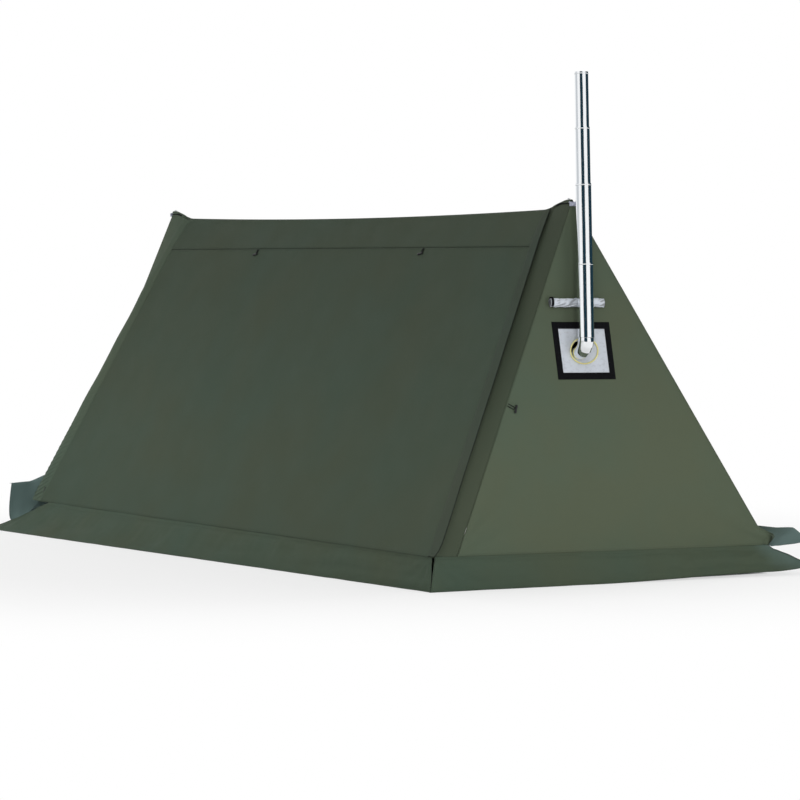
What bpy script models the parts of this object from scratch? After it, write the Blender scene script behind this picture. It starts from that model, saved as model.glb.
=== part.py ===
# A ridge tent with a stove flue, whose long front wall unzips at both sides and lifts as an awning.
# X runs along the ridge, the awning wall faces -Y, +Z is up, and the origin is the ground under the
# middle of the footprint. Every cloth surface is worked out as its inner face and grows outwards.
import math

import bmesh
import bpy
from mathutils import Matrix, Vector

# Driving dimensions of the tent, in metres
RIDGE_LENGTH = 3.70
BASE_LENGTH = 3.86
RIDGE_HEIGHT = 1.60
FRONT_DEPTH = 0.73
REAR_DEPTH = 0.97
FRONT_SEAM_HEIGHT = 0.14
REAR_SEAM_HEIGHT = 0.12
CLOTH = 0.002
GAP = 0.0003
WELD = 0.00005
CUT_OVERRUN = 0.02

# The ridge sags between its two lifted ends
RIDGE_SAG = 0.022
END_LIFT = 0.030
LIFT_RUN = 0.165
END_FLAT = 0.050
END_RUN = 0.220
END_STATIONS = 8
RIDGE_STATIONS = 28
HEADER_SHARE = 0.13
REAR_FADE_SHARE = 0.30
APEX_SHARE = 0.012

# Lines of the front wall, measured outwards from the middle of the tent
STITCH_TOP_X = 1.645
STITCH_BASE_X = 1.900
ZIP_COVER_TOP = 0.035
ZIP_COVER_BASE = 0.015
ZIP_TOP_X = STITCH_TOP_X + ZIP_COVER_TOP
ZIP_BASE_X = STITCH_BASE_X + ZIP_COVER_BASE
STRIP_SETBACK = 0.118
ZIP_CHANNEL = 0.026
ZIP_SPLIT = 0.002
ZIP_TAPE = 0.0012
ZIP_BEAD_WIDTH = 0.003
ZIP_BEAD_HEIGHT = 0.0015
ZIP_END_CLEARANCE = 0.006

# Storm flaps over the zips
FLAP_WIDTH_TOP = 0.066
FLAP_WIDTH_BASE = 0.092
FLAP_RISE = 0.012
FLAP_HEM_RISE = 0.0012
FLAP_HINGE_GAP = 0.0040
FLAP_RISE_RUN_SHARE = 0.06
FLAP_CREST_SHARE = 0.35
FLAP_EDGE_SHARE = 0.75
FLAP_END_RUN_SHARE = 0.05
FLAP_END_TUCK = 0.045
FLAP_TOP_SETBACK = 0.014

# Skirts
FOOT_WIDTH = 0.014
SKIRT_BELLY = 0.012
SKIRT_END_GAP = 0.010
FRONT_SKIRT_SPREAD_RIGHT = 0.020
FRONT_SKIRT_SPREAD_LEFT = 0.215
SIDE_REACH = 0.19
REAR_SKIRT_SPREAD = 0.200
GABLE_SKIRT_SPREAD_FRONT = 0.024
GABLE_SKIRT_SPREAD_REAR = 0.120
GABLE_SKIRT_REAR_LIFT = 0.018
SKIRT_REAR_TIP = 0.155
GABLE_SKIRT_FRONT_TIP = 0.040

# The two lifted skirt ends: share of the run from the end, spread, reach past the end, height of the hem
LEFT_WING = (
    (0.00, 0.175, 0.088, 0.225), (0.05, 0.170, 0.070, 0.230), (0.10, 0.105, 0.030, 0.285),
    (0.135, 0.085, 0.012, 0.315), (0.20, 0.140, 0.000, 0.140), (0.28, 0.190, 0.000, 0.002),
)
LEFT_WING_DIP = (-0.050, -0.040, -0.112)
LEFT_DIP_RUN_SHARE = 0.32
REAR_WING = (
    (0.00, 0.165, 0.085, 0.130), (0.018, 0.155, 0.045, 0.176), (0.037, 0.135, 0.015, 0.208),
    (0.075, 0.130, 0.000, 0.200),
    (0.13, 0.165, 0.000, 0.100), (0.20, 0.200, 0.000, 0.002),
)
TIP_RUN_SHARE = 0.14
LIFT_START_SHARE = 0.45
FOOT_ROW_SHARE = 0.8
SKIRT_FOLD = 0.010
SKIRT_FOLDS = 5

# Poles: two legs at each end, which meet under the ridge in a hub with a spike
POLE_RADIUS = 0.0095
POLE_WALL = 0.0012
POLE_SET_IN = 0.025
POLE_SPIGOT_LENGTH = 0.060
LOWER_SHARE = 0.5
LEG_CLEARANCE = 0.0125
HUB_RADIUS = 0.0130
HUB_LENGTH = 0.026
HUB_REACH = 0.024
HUB_PLUG_LENGTH = 0.030
FOOT_SET_IN_X = 0.045
FRONT_FOOT_SETBACK_SHARE = 0.42
REAR_FOOT_SET_IN = 0.070
FOOT_RADIUS = 0.0140
FOOT_HEIGHT = 0.030
FOOT_WEB = 0.004
FOOT_LIP = 0.0015
FOOT_DOME_STEPS = 4
TIP_SHANK_RADIUS = 0.0030
TIP_RISE = 0.004
TIP_HOLE_RADIUS = 0.0042

# Ridge webbing and the caps over its ends
WEBBING_HALF_WIDTH = 0.016
WEBBING_THICKNESS = 0.0015
WEBBING_INSET = 0.0014
CREASE_SHARE = 0.01
CAP_STATIONS = 5
CAP_LENGTH = END_RUN * CAP_STATIONS / END_STATIONS
CAP_LIFT = 0.0010
CAP_LEG = 0.052
CAP_FLAT = 0.020
CAP_THICKNESS = 0.0025
CAP_CROWN_SHARE = 0.5
GROMMET_OUTER = 0.0085
GROMMET_THICKNESS = 0.0018

# Stove jack on the right gable, in the plane of the gable
JACK_CENTRE_Y = 0.036
JACK_CENTRE_Z = 0.974
JACK_WIDTH = 0.288
JACK_HEIGHT = 0.240
JACK_SKEW = 0.030
JACK_BORDER = 0.028
BORDER_THICKNESS = 0.0020
PATCH_THICKNESS = 0.0016
HOLE_WIDTH = 0.128
HOLE_HEIGHT = 0.100
HOLE_SIDES = 28
HOLE_EDGE_STEPS = 8
RIM_RADIUS = 0.0030
RIM_SETBACK = 0.0045
ROLL_RISE = 0.203
ROLL_OFFSET = -0.038
ROLL_LENGTH = 0.272
ROLL_RADIUS = 0.0185
ROLL_CORE = 0.0040
ROLL_FLAT_SHARE = 0.56
ROLL_TURNS = 2.6
ROLL_CLOTH = 0.0022
ROLL_STEPS = 40
TIE_WIDTH = 0.012
TIE_THICKNESS = 0.0015
TIE_INSET = 0.010
REAR_TIE_SHARE = 0.16

# Flue: each upper pipe slides inside the one below
FLUE_WALL = 0.0010
FLUE_RISER_RADIUS = 0.0350
FLUE_STEP = 0.0020
FLUE_LIP = 0.010
FLUE_LAP = 0.060
ELBOW_RADIUS = 0.0333
ELBOW_SIDE_CLEARANCE = 0.0027
FLUE_OFFSET = ELBOW_RADIUS + ELBOW_SIDE_CLEARANCE - HOLE_WIDTH / 2
ELBOW_BEND = 0.052
ELBOW_GORES = 5
ELBOW_INSIDE = 0.070
ELBOW_SOCKET = 0.028
ELBOW_SEAT = 0.006
ELBOW_STANDOFF = 0.010
RISER_VISIBLE = 0.318
SECOND_VISIBLE = 0.332
THIRD_VISIBLE = 0.236
TOP_VISIBLE = 0.230
BEAD_HEIGHT = 0.0012
BEAD_RUN = 0.004

# Zip sliders
SLIDER_LENGTH = 0.016
SLIDER_WIDTH = 0.0105
SLIDER_PLATE = 0.0012
SLIDER_WEB = 0.0013
SLIDER_REST_SHARE = 0.965
PULL_LENGTH = 0.022
PULL_WIDTH = 0.005
PULL_THICKNESS = 0.0014
PULL_EYE_RADIUS = 0.0012
PULL_EYE_SIDES = 8

# Toggles
TOGGLE_LENGTH = 0.034
TOGGLE_RADIUS = 0.0050
TOGGLE_WAIST = 0.0036
TOGGLE_END = 0.0040
CORD_RADIUS = 0.0016
CORD_SLACK = 0.0008
LOOP_STEPS = 6
HEADER_TOGGLE_X = (-0.742, 0.812)
HEADER_LOOP_DROP = 0.028
HEADER_TOGGLE_TILT_DEG = 14.0
GABLE_TOGGLE_SHARE = 0.578
GABLE_LOOP_REACH = 0.038
GABLE_LOOP_DROP = 0.018
LOOP_HALF_WIDTH = 0.005
LOOP_SET_IN = 0.005
GABLE_TOGGLE_LEAN_SHARE = 0.25
TOGGLE_END_SHARE = 0.7

FRONT_REACH = FRONT_DEPTH + FRONT_SKIRT_SPREAD_LEFT
REAR_REACH = REAR_DEPTH + REAR_SKIRT_SPREAD
RIDGE_Y = (FRONT_REACH - REAR_REACH) / 2
HALF_RIDGE = RIDGE_LENGTH / 2
HALF_BASE = BASE_LENGTH / 2
POLE_X = HALF_RIDGE - POLE_SET_IN
LEFT, RIGHT = -1, 1
UP = Vector((0, 0, 1))

FINISHES = {
    "olive_front": ((0.052, 0.072, 0.052), 0.85, 0.0),
    "olive_gable": ((0.086, 0.110, 0.070), 0.85, 0.0),
    "olive_strip": ((0.050, 0.060, 0.042), 0.85, 0.0),
    "olive_skirt": ((0.064, 0.095, 0.074), 0.70, 0.0),
    "black_webbing": ((0.012, 0.012, 0.014), 0.75, 0.0),
    "silver_cloth": ((0.460, 0.480, 0.520), 0.55, 0.0),
    "rim_thread": ((0.700, 0.660, 0.320), 0.80, 0.0),
    "flue_steel": ((0.720, 0.730, 0.740), 0.22, 1.0),
    "pole_steel": ((0.110, 0.115, 0.120), 0.40, 1.0),
    "zinc": ((0.560, 0.570, 0.580), 0.35, 1.0),
    "black_plastic": ((0.010, 0.010, 0.011), 0.45, 0.0),
    "black_rubber": ((0.015, 0.015, 0.015), 0.90, 0.0),
}


def lerp(a, b, share):
    return a + (b - a) * share


def smooth(share):
    share = min(max(share, 0.0), 1.0)
    return share * share * (3 - 2 * share)


def material_of(finish):
    found = bpy.data.materials.get(finish)
    if found:
        return found
    colour, roughness, metallic = FINISHES[finish]
    made = bpy.data.materials.new(finish)
    made.use_nodes = True
    shader = made.node_tree.nodes["Principled BSDF"]
    shader.inputs["Base Color"].default_value = (*colour, 1.0)
    shader.inputs["Roughness"].default_value = roughness
    shader.inputs["Metallic"].default_value = metallic
    made.diffuse_color = (*colour, 1.0)
    return made


# The scene, its two collections and the empties that carry the moving bodies

for old in list(bpy.data.objects):
    bpy.data.objects.remove(old, do_unlink=True)
tent = bpy.data.collections.new("awning_tent")
cutters = bpy.data.collections.new("cutters")
bpy.context.scene.collection.children.link(tent)
bpy.context.scene.collection.children.link(cutters)


def joint_empty(name, place):
    made = bpy.data.objects.new(name, None)
    tent.objects.link(made)
    made.matrix_basis = place if isinstance(place, Matrix) else Matrix.Translation(place)
    return made


def carry(piece, empty):
    """Parents the piece to its joint's empty without moving it."""
    if empty:
        bpy.context.view_layer.update()
        piece.parent = empty
        piece.matrix_parent_inverse = empty.matrix_world.inverted()
    return piece


def frame_of(origin, x_axis, z_axis):
    """A placing matrix from its X and Z directions."""
    z_dir = z_axis.normalized()
    y_dir = z_dir.cross(x_axis).normalized()
    x_dir = y_dir.cross(z_dir)
    placing = Matrix((x_dir, y_dir, z_dir)).transposed().to_4x4()
    placing.translation = origin
    return placing


# Modelling operations shared by the pieces

def sheet(name, surface, along, across, faces_to, finish, thickness=CLOTH, grow=1, empty=None):
    """Cloth over surface(u, v), thickened away from it: along faces_to for grow 1, against it for -1."""
    shape = bmesh.new()
    bmesh.ops.create_grid(shape, x_segments=along, y_segments=across, size=1)
    for vert in shape.verts:
        vert.co = surface((vert.co.x + 1) / 2, (vert.co.y + 1) / 2)
    shape.normal_update()
    if sum((face.normal * face.calc_area() for face in shape.faces), Vector()).dot(faces_to) < 0:
        bmesh.ops.reverse_faces(shape, faces=shape.faces)
    mesh = bpy.data.meshes.new(name)
    shape.to_mesh(mesh)
    shape.free()
    piece = bpy.data.objects.new(name, mesh)
    tent.objects.link(piece)
    mesh.materials.append(material_of(finish))
    wall = piece.modifiers.new("cloth", "SOLIDIFY")
    wall.thickness = thickness
    wall.offset = grow
    wall.use_even_offset = True
    return carry(piece, empty)


def turned(name, profile, steps, placing, finish, empty=None, closed=True, hide=False):
    """A solid turned about its local Z from (radius, height) points, down the outer side."""
    mesh = bpy.data.meshes.new(name)
    edges = [(i, i + 1) for i in range(len(profile) - 1)]
    if closed:
        edges.append((len(profile) - 1, 0))
    mesh.from_pydata([(radius, 0, height) for radius, height in profile], edges, [])
    piece = bpy.data.objects.new(name, mesh)
    (cutters if hide else tent).objects.link(piece)
    mesh.materials.append(material_of(finish))
    spin = piece.modifiers.new("turn", "SCREW")
    spin.angle = math.tau
    spin.steps = steps
    spin.render_steps = steps
    spin.use_merge_vertices = True
    spin.merge_threshold = WELD
    spin.use_smooth_shade = True
    piece.matrix_basis = placing
    if hide:
        piece.hide_render = True
        piece.display_type = "WIRE"
    return carry(piece, empty)


def plate(name, outlines, thickness, placing, finish, empty=None):
    """A flat plate between closed outlines, centred on the placing's XY plane."""
    drawn = bpy.data.curves.new(name, "CURVE")
    drawn.dimensions = "2D"
    drawn.fill_mode = "BOTH"
    drawn.extrude = thickness / 2
    for outline in outlines:
        spline = drawn.splines.new("POLY")
        spline.points.add(len(outline) - 1)
        for point, (x, y) in zip(spline.points, outline):
            point.co = (x, y, 0, 1)
        spline.use_cyclic_u = True
    piece = bpy.data.objects.new(name, drawn)
    tent.objects.link(piece)
    drawn.materials.append(material_of(finish))
    piece.matrix_basis = placing
    return carry(piece, empty)


def wire(name, points, radius, placing, finish, empty=None, cyclic=False, resolution=1):
    """A round wire or cord through the points of the placing's frame."""
    drawn = bpy.data.curves.new(name, "CURVE")
    drawn.dimensions = "3D"
    drawn.bevel_depth = radius
    drawn.bevel_resolution = resolution
    drawn.use_fill_caps = not cyclic
    spline = drawn.splines.new("POLY")
    spline.points.add(len(points) - 1)
    for point, place in zip(spline.points, points):
        point.co = (*place, 1)
    spline.use_cyclic_u = cyclic
    piece = bpy.data.objects.new(name, drawn)
    tent.objects.link(piece)
    drawn.materials.append(material_of(finish))
    piece.matrix_basis = placing
    return carry(piece, empty)


def as_mesh(piece):
    """The curve object as a welded mesh under the same name."""
    bpy.context.view_layer.update()
    evaluated = piece.evaluated_get(bpy.context.evaluated_depsgraph_get())
    mesh = bpy.data.meshes.new_from_object(evaluated)
    shape = bmesh.new()
    shape.from_mesh(mesh)
    bmesh.ops.remove_doubles(shape, verts=shape.verts, dist=WELD)
    shape.to_mesh(mesh)
    shape.free()
    name, placing = piece.name, piece.matrix_basis.copy()
    bpy.data.objects.remove(piece, do_unlink=True)
    made = bpy.data.objects.new(name, mesh)
    tent.objects.link(made)
    made.matrix_basis = placing
    return made


def cut(piece, cutter):
    hole = piece.modifiers.new(cutter.name, "BOOLEAN")
    hole.operation = "DIFFERENCE"
    hole.solver = "EXACT"
    hole.object = cutter


# Surfaces of the tent, as functions of a place along the ridge and a share of the way down

def ridge_drop(x):
    """How far the ridge hangs below its two ends at this place along it."""
    reach = HALF_RIDGE - END_FLAT
    sag = RIDGE_SAG * max(0.0, 1 - (x / reach) ** 2)
    return sag + END_LIFT * (1 - smooth((abs(x) - reach + LIFT_RUN) / LIFT_RUN))


def ridge_x(u, half):
    """Places from -half to half along the ridge: few in its middle and many near its lifted ends."""
    if u > 1 / 2:
        return -ridge_x(1 - u, half)
    station = u * RIDGE_STATIONS
    if station <= END_STATIONS:
        return -half + END_RUN * station / END_STATIONS
    share = (station - END_STATIONS) / (RIDGE_STATIONS / 2 - END_STATIONS)
    return lerp(-half + END_RUN, 0, share)


def front_point(x, share):
    drop = ridge_drop(x) * max(0.0, 1 - share / HEADER_SHARE)
    height = lerp(RIDGE_HEIGHT, FRONT_SEAM_HEIGHT, share)
    return Vector((x, RIDGE_Y - FRONT_DEPTH * share, height - drop))


def rear_point(x, share):
    drop = ridge_drop(x) * max(0.0, 1 - share / REAR_FADE_SHARE)
    height = lerp(RIDGE_HEIGHT, REAR_SEAM_HEIGHT, share)
    return Vector((x, RIDGE_Y + REAR_DEPTH * share, height - drop))


def edge_x(share):
    """Half the tent's length at this share of the way down."""
    return lerp(HALF_RIDGE, HALF_BASE, share)


def zip_x(share):
    return lerp(ZIP_TOP_X, ZIP_BASE_X, share)


def stitch_x(share):
    return lerp(STITCH_TOP_X, STITCH_BASE_X, share)


def apex(side):
    return Vector((side * HALF_RIDGE, RIDGE_Y, RIDGE_HEIGHT))


def front_corner(side):
    return Vector((side * HALF_BASE, RIDGE_Y - FRONT_DEPTH, FRONT_SEAM_HEIGHT))


def rear_corner(side):
    return Vector((side * HALF_BASE, RIDGE_Y + REAR_DEPTH, REAR_SEAM_HEIGHT))


def strip_corner(side):
    """Where the side strip's seam with the gable meets the bottom seam."""
    share = STRIP_SETBACK / (FRONT_DEPTH + REAR_DEPTH)
    return front_corner(side).lerp(rear_corner(side), share)


FRONT_SLOPE = (front_corner(RIGHT) - apex(RIGHT)) - Vector((HALF_BASE - HALF_RIDGE, 0, 0))
REAR_SLOPE = (rear_corner(RIGHT) - apex(RIGHT)) - Vector((HALF_BASE - HALF_RIDGE, 0, 0))
FRONT_OUT = FRONT_SLOPE.cross(Vector((1, 0, 0))).normalized()
REAR_OUT = REAR_SLOPE.cross(Vector((-1, 0, 0))).normalized()


def gable_out(side):
    across = rear_corner(side) - front_corner(side)
    down = front_corner(side) - apex(side)
    return (down.cross(across) * side).normalized()


def gable_place(side, y, z, out=0.0):
    """A point of the gable's plane at this y and z, lifted off it by out."""
    normal = gable_out(side)
    start = apex(side)
    x = start.x - (normal.y * (y - start.y) + normal.z * (z - start.z)) / normal.x
    return Vector((x, y, z)) + normal * out


def gable_frame(side, y, z, out):
    """X points rearwards along the gable, Y up its slope on the right side, Z out of it."""
    along = (rear_corner(side) - front_corner(side)) * side
    return frame_of(gable_place(side, y, z, out), along, gable_out(side))


# Walls

def rear_wall():
    inset = GAP / REAR_DEPTH

    def surface(u, v):
        share = lerp(inset, 1 - inset, v)
        return rear_point(ridge_x(u, edge_x(share) - GAP), share)

    return sheet("rear_wall", surface, RIDGE_STATIONS, 8, REAR_OUT, "olive_front")


def header_band():
    inset = GAP / FRONT_DEPTH

    def surface(u, v):
        share = lerp(inset, HEADER_SHARE - inset, v)
        return front_point(ridge_x(u, zip_x(share) + ZIP_CHANNEL / 2 - GAP), share)

    return sheet("header_band", surface, RIDGE_STATIONS, 2, FRONT_OUT, "olive_front")


def side_strip(side, name):
    """The twisted strip between the zip's channel on the front wall and the gable's seam."""
    inset = GAP / FRONT_DEPTH

    def surface(u, v):
        share = lerp(inset, 1 - inset, v)
        start = Vector((side * (zip_x(share) + ZIP_CHANNEL / 2), 0, 0))
        start.y, start.z = front_point(start.x, share).yz
        start.z += ridge_drop(start.x) * max(0.0, 1 - share / HEADER_SHARE)
        end = apex(side).lerp(strip_corner(side), share)
        reach = (end - start).length
        place = start.lerp(end, lerp(GAP / reach, 1 - GAP / reach, u))
        place.z -= ridge_drop(place.x) * max(0.0, 1 - share / HEADER_SHARE)
        return place

    return sheet(name, surface, 8, 16, Vector((side, -1, 0)), "olive_strip")


def gable(side, name):
    inset = GAP / FRONT_DEPTH

    def surface(u, v):
        share = lerp(APEX_SHARE, 1 - inset, v)
        front = apex(side).lerp(strip_corner(side), share)
        rear = apex(side).lerp(rear_corner(side), share)
        trim = GAP / (rear - front).length
        return front.lerp(rear, lerp(trim, 1 - trim, u))

    return sheet(name, surface, 4, 6, Vector((side, 0, 0)), "olive_gable")


def front_panel(empty):
    inset = GAP / FRONT_DEPTH

    def surface(u, v):
        share = lerp(HEADER_SHARE + inset, 1 - inset, v)
        half = zip_x(share) - ZIP_CHANNEL / 2
        return front_point(lerp(-half, half, u), share)

    return sheet("awning_panel", surface, 16, 6, FRONT_OUT, "olive_front", empty=empty)


# Storm flaps over the zips, each in a head above the header seam and a leaf that lifts with the awning

def flap_curl(u):
    """The flap's rise off the wall, from 0 at its stitches over its crest to its free edge."""
    if u < FLAP_CREST_SHARE:
        return math.sin(u / FLAP_CREST_SHARE * math.pi / 2)
    return lerp(1, FLAP_EDGE_SHARE, smooth((u - FLAP_CREST_SHARE) / (1 - FLAP_CREST_SHARE)))


def flap_surface(side, top_share, base_share):
    def surface(u, v):
        share = lerp(top_share, base_share, v)
        width = lerp(FLAP_WIDTH_TOP, FLAP_WIDTH_BASE, share)
        to_end = (1 - share) / FLAP_END_RUN_SHARE
        tuck = FLAP_END_TUCK * (1 - math.sqrt(1 - (1 - min(1.0, to_end)) ** 2))
        from_fold = abs(share - HEADER_SHARE) / FLAP_RISE_RUN_SHARE
        rise = FLAP_RISE * smooth(from_fold) * flap_curl(u)
        place = front_point(side * (stitch_x(share) + (width - tuck) * u), share)
        return place + FRONT_OUT * (CLOTH + FLAP_HEM_RISE + rise)

    return surface


def flap_head(side, name):
    top = FLAP_TOP_SETBACK / FRONT_SLOPE.length
    base = HEADER_SHARE - FLAP_HINGE_GAP / FRONT_SLOPE.length
    surface = flap_surface(side, top, base)
    return sheet(name, surface, 4, 3, FRONT_OUT, "olive_front")


def flap_leaf(side, name, empty):
    top = HEADER_SHARE + FLAP_HINGE_GAP / FRONT_SLOPE.length
    surface = flap_surface(side, top, 1 - GAP / FRONT_DEPTH)
    return sheet(name, surface, 5, 20, FRONT_OUT, "olive_front", empty=empty)


# Skirts: from the bottom seam out to a toe, with a narrow foot that lies flat

def from_end(u, run_share):
    """1 at the end where u is 0, easing to 0 over run_share of the skirt."""
    return max(0.0, 1 - u / run_share) ** 2


def wing(rows, u):
    """Spread, reach and height of a lifted skirt end at u of the run from that end."""
    before = max((row for row in rows if row[0] <= u), key=lambda row: row[0])
    after = min((row for row in rows if row[0] > u), key=lambda row: row[0], default=before)
    run = after[0] - before[0]
    share = smooth((u - before[0]) / run) if run else 0
    return [lerp(a, b, share) for a, b in zip(before[1:], after[1:])]


def skirt(name, seam, toe, stations, faces_to, empty=None, dip=None):
    """seam(u) is the sewn edge and toe(u) the outer edge, both on the skirt's upper face."""
    def surface(u, v):
        top, end = seam(u), toe(u)
        run = Vector((end.x - top.x, end.y - top.y, 0))
        heel = end - run * (FOOT_WIDTH / max(run.length, FOOT_WIDTH * 2))
        if v > FOOT_ROW_SHARE:
            return heel.lerp(end, (v - FOOT_ROW_SHARE) / (1 - FOOT_ROW_SHARE))
        share = v / FOOT_ROW_SHARE
        place = top.lerp(heel, share)
        slack = math.sin(share * math.pi) * min(1.0, run.length / SIDE_REACH)
        place.z -= slack * (SKIRT_BELLY - SKIRT_FOLD * math.sin(u * math.tau * SKIRT_FOLDS))
        if dip:
            place += dip(u) * math.sin(share * math.pi)
        return place

    return sheet(name, surface, stations, 5, faces_to, "olive_skirt", grow=-1, empty=empty)


def front_skirt(empty):
    y_seam = RIDGE_Y - FRONT_DEPTH
    half = HALF_BASE - SKIRT_END_GAP

    def seam(u):
        return Vector((lerp(-half, half, u), y_seam, FRONT_SEAM_HEIGHT - GAP))

    def toe(u):
        spread = lerp(FRONT_SKIRT_SPREAD_LEFT, FRONT_SKIRT_SPREAD_RIGHT, u)
        reach = FRONT_SKIRT_SPREAD_RIGHT * from_end(1 - u, TIP_RUN_SHARE)
        reach -= (SIDE_REACH + SKIRT_END_GAP) * from_end(u, TIP_RUN_SHARE)
        return Vector((lerp(-half, half, u) + reach, y_seam - spread, CLOTH))

    return skirt("front_skirt", seam, toe, 36, Vector((0, -1, 1)), empty)


def rear_skirt():
    y_seam = RIDGE_Y + REAR_DEPTH
    half = HALF_BASE - SKIRT_END_GAP

    def seam(u):
        return Vector((lerp(-half, half, u), y_seam, REAR_SEAM_HEIGHT - GAP))

    def toe(u):
        spread, reach, height = wing(REAR_WING, 1 - u)
        reach -= (SIDE_REACH + SKIRT_END_GAP) * from_end(u, TIP_RUN_SHARE)
        return Vector((lerp(-half, half, u) + reach, y_seam + spread, height))

    return skirt("rear_skirt", seam, toe, 54, Vector((0, 1, 1)))


def gable_skirt(side, name):
    first, last = front_corner(side), rear_corner(side)
    end_share = SKIRT_END_GAP / (last - first).length

    def seam(u):
        return first.lerp(last, lerp(end_share, 1 - end_share, u)) - UP * GAP

    def right_toe(u):
        spread = lerp(GABLE_SKIRT_SPREAD_FRONT, GABLE_SKIRT_SPREAD_REAR, u)
        spread += (SIDE_REACH - GABLE_SKIRT_SPREAD_REAR) * from_end(1 - u, TIP_RUN_SHARE)
        lift = GABLE_SKIRT_REAR_LIFT * smooth((u - LIFT_START_SHARE) / (1 - LIFT_START_SHARE))
        tip = SKIRT_REAR_TIP * from_end(1 - u, TIP_RUN_SHARE)
        tip -= GABLE_SKIRT_FRONT_TIP * from_end(u, TIP_RUN_SHARE)
        return Vector((side * (HALF_BASE + spread), seam(u).y + tip, CLOTH + lift))

    def left_toe(u):
        spread, reach, height = wing(LEFT_WING, u)
        tip = SKIRT_REAR_TIP * from_end(1 - u, TIP_RUN_SHARE) - reach
        return Vector((side * (HALF_BASE + spread), seam(u).y + tip, height))

    def left_dip(u):
        return Vector(LEFT_WING_DIP) * from_end(u, LEFT_DIP_RUN_SHARE)

    if side == RIGHT:
        return skirt(name, seam, right_toe, 24, Vector((side, 0, 1)))
    return skirt(name, seam, left_toe, 40, Vector((side, 0, 1)), dip=left_dip)


# Ridge webbing, caps and grommets

def tip_cutter(side):
    place = Vector((side * POLE_X, RIDGE_Y, RIDGE_HEIGHT))
    profile = [(0, CUT_OVERRUN * 2), (TIP_HOLE_RADIUS, CUT_OVERRUN * 2),
               (TIP_HOLE_RADIUS, -CUT_OVERRUN * 4), (0, -CUT_OVERRUN * 4)]
    name = "tip_cutter_left" if side == LEFT else "tip_cutter_right"
    return turned(name, profile, 12, Matrix.Translation(place), "zinc", closed=False, hide=True)


def ridge_webbing():
    """A folded strap sewn inside the ridge, which carries the pull between the two poles."""
    half = HALF_RIDGE - 4 * GAP

    def surface(u, v):
        x = ridge_x(u, half)
        down = lerp(-1, 1, v)
        slope = FRONT_SLOPE if down < 0 else REAR_SLOPE
        out = FRONT_OUT if down < 0 else REAR_OUT
        share = abs(down) * WEBBING_HALF_WIDTH / slope.length
        place = front_point(x, share) if down < 0 else rear_point(x, share)
        if abs(down) < CREASE_SHARE:
            bisector = (FRONT_OUT + REAR_OUT).normalized()
            return place - bisector * WEBBING_INSET / math.cos(FRONT_OUT.angle(REAR_OUT) / 2)
        return place - out * WEBBING_INSET

    return sheet("ridge_webbing", surface, RIDGE_STATIONS, 4, UP, "black_webbing",
                 thickness=WEBBING_THICKNESS, grow=-1)


def ridge_cap(side, name):
    """A reinforced cap folded over the ridge end, with a flat crown for its grommet."""
    lift = CLOTH + CAP_LIFT

    def surface(u, v):
        x = side * lerp(HALF_RIDGE - CAP_LENGTH, HALF_RIDGE - GAP, u)
        down = lerp(-1, 1, v)
        if abs(down) <= CAP_CROWN_SHARE:
            top = Vector((0, down / CAP_CROWN_SHARE * CAP_FLAT / 2, lift / min(FRONT_OUT.z, REAR_OUT.z)))
            return front_point(x, 0) + top
        along = CAP_LEG * (abs(down) - CAP_CROWN_SHARE) / (1 - CAP_CROWN_SHARE)
        if down < 0:
            return front_point(x, CAP_FLAT / 2 / FRONT_DEPTH + along / FRONT_SLOPE.length) + FRONT_OUT * lift
        return rear_point(x, CAP_FLAT / 2 / REAR_DEPTH + along / REAR_SLOPE.length) + REAR_OUT * lift

    return sheet(name, surface, CAP_STATIONS, 8, UP, "olive_strip", thickness=CAP_THICKNESS)


def grommet(side, name):
    """The eyelet in a cap's crown that the pole's spike comes up through."""
    top = cap_top() + GAP
    inner = TIP_HOLE_RADIUS - GAP
    profile = [(inner, GROMMET_THICKNESS), (GROMMET_OUTER - GROMMET_THICKNESS / 2, GROMMET_THICKNESS),
               (GROMMET_OUTER, 0), (inner, 0)]
    turned(name, profile, 16, Matrix.Translation((side * POLE_X, RIDGE_Y, top)), "zinc")


def cap_top():
    """The height of the cap's crown over a pole."""
    crown = (CLOTH + CAP_LIFT) / min(FRONT_OUT.z, REAR_OUT.z)
    return RIDGE_HEIGHT - ridge_drop(POLE_X) + crown + CAP_THICKNESS


# Poles: two legs at each end of the tent, of two tubes each, that meet in a hub under the ridge

def hub_centre(side):
    """Where the legs' axes meet, low enough under the ridge for both to clear the walls."""
    drop = ridge_drop(POLE_X) + (POLE_RADIUS + LEG_CLEARANCE) / min(FRONT_OUT.z, REAR_OUT.z)
    return Vector((side * POLE_X, RIDGE_Y, RIDGE_HEIGHT - drop))


def leg_frame(side, end):
    """Z up the leg from the middle of its round foot, and how far the hub's centre is."""
    if end == "front":
        y = RIDGE_Y - FRONT_DEPTH + STRIP_SETBACK * FRONT_FOOT_SETBACK_SHARE
    else:
        y = RIDGE_Y + REAR_DEPTH - REAR_FOOT_SET_IN
    foot = Vector((side * (HALF_BASE - FOOT_SET_IN_X), y, FOOT_RADIUS))
    run = hub_centre(side) - foot
    return frame_of(foot, Vector((1, 0, 0)), run), run.length


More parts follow.
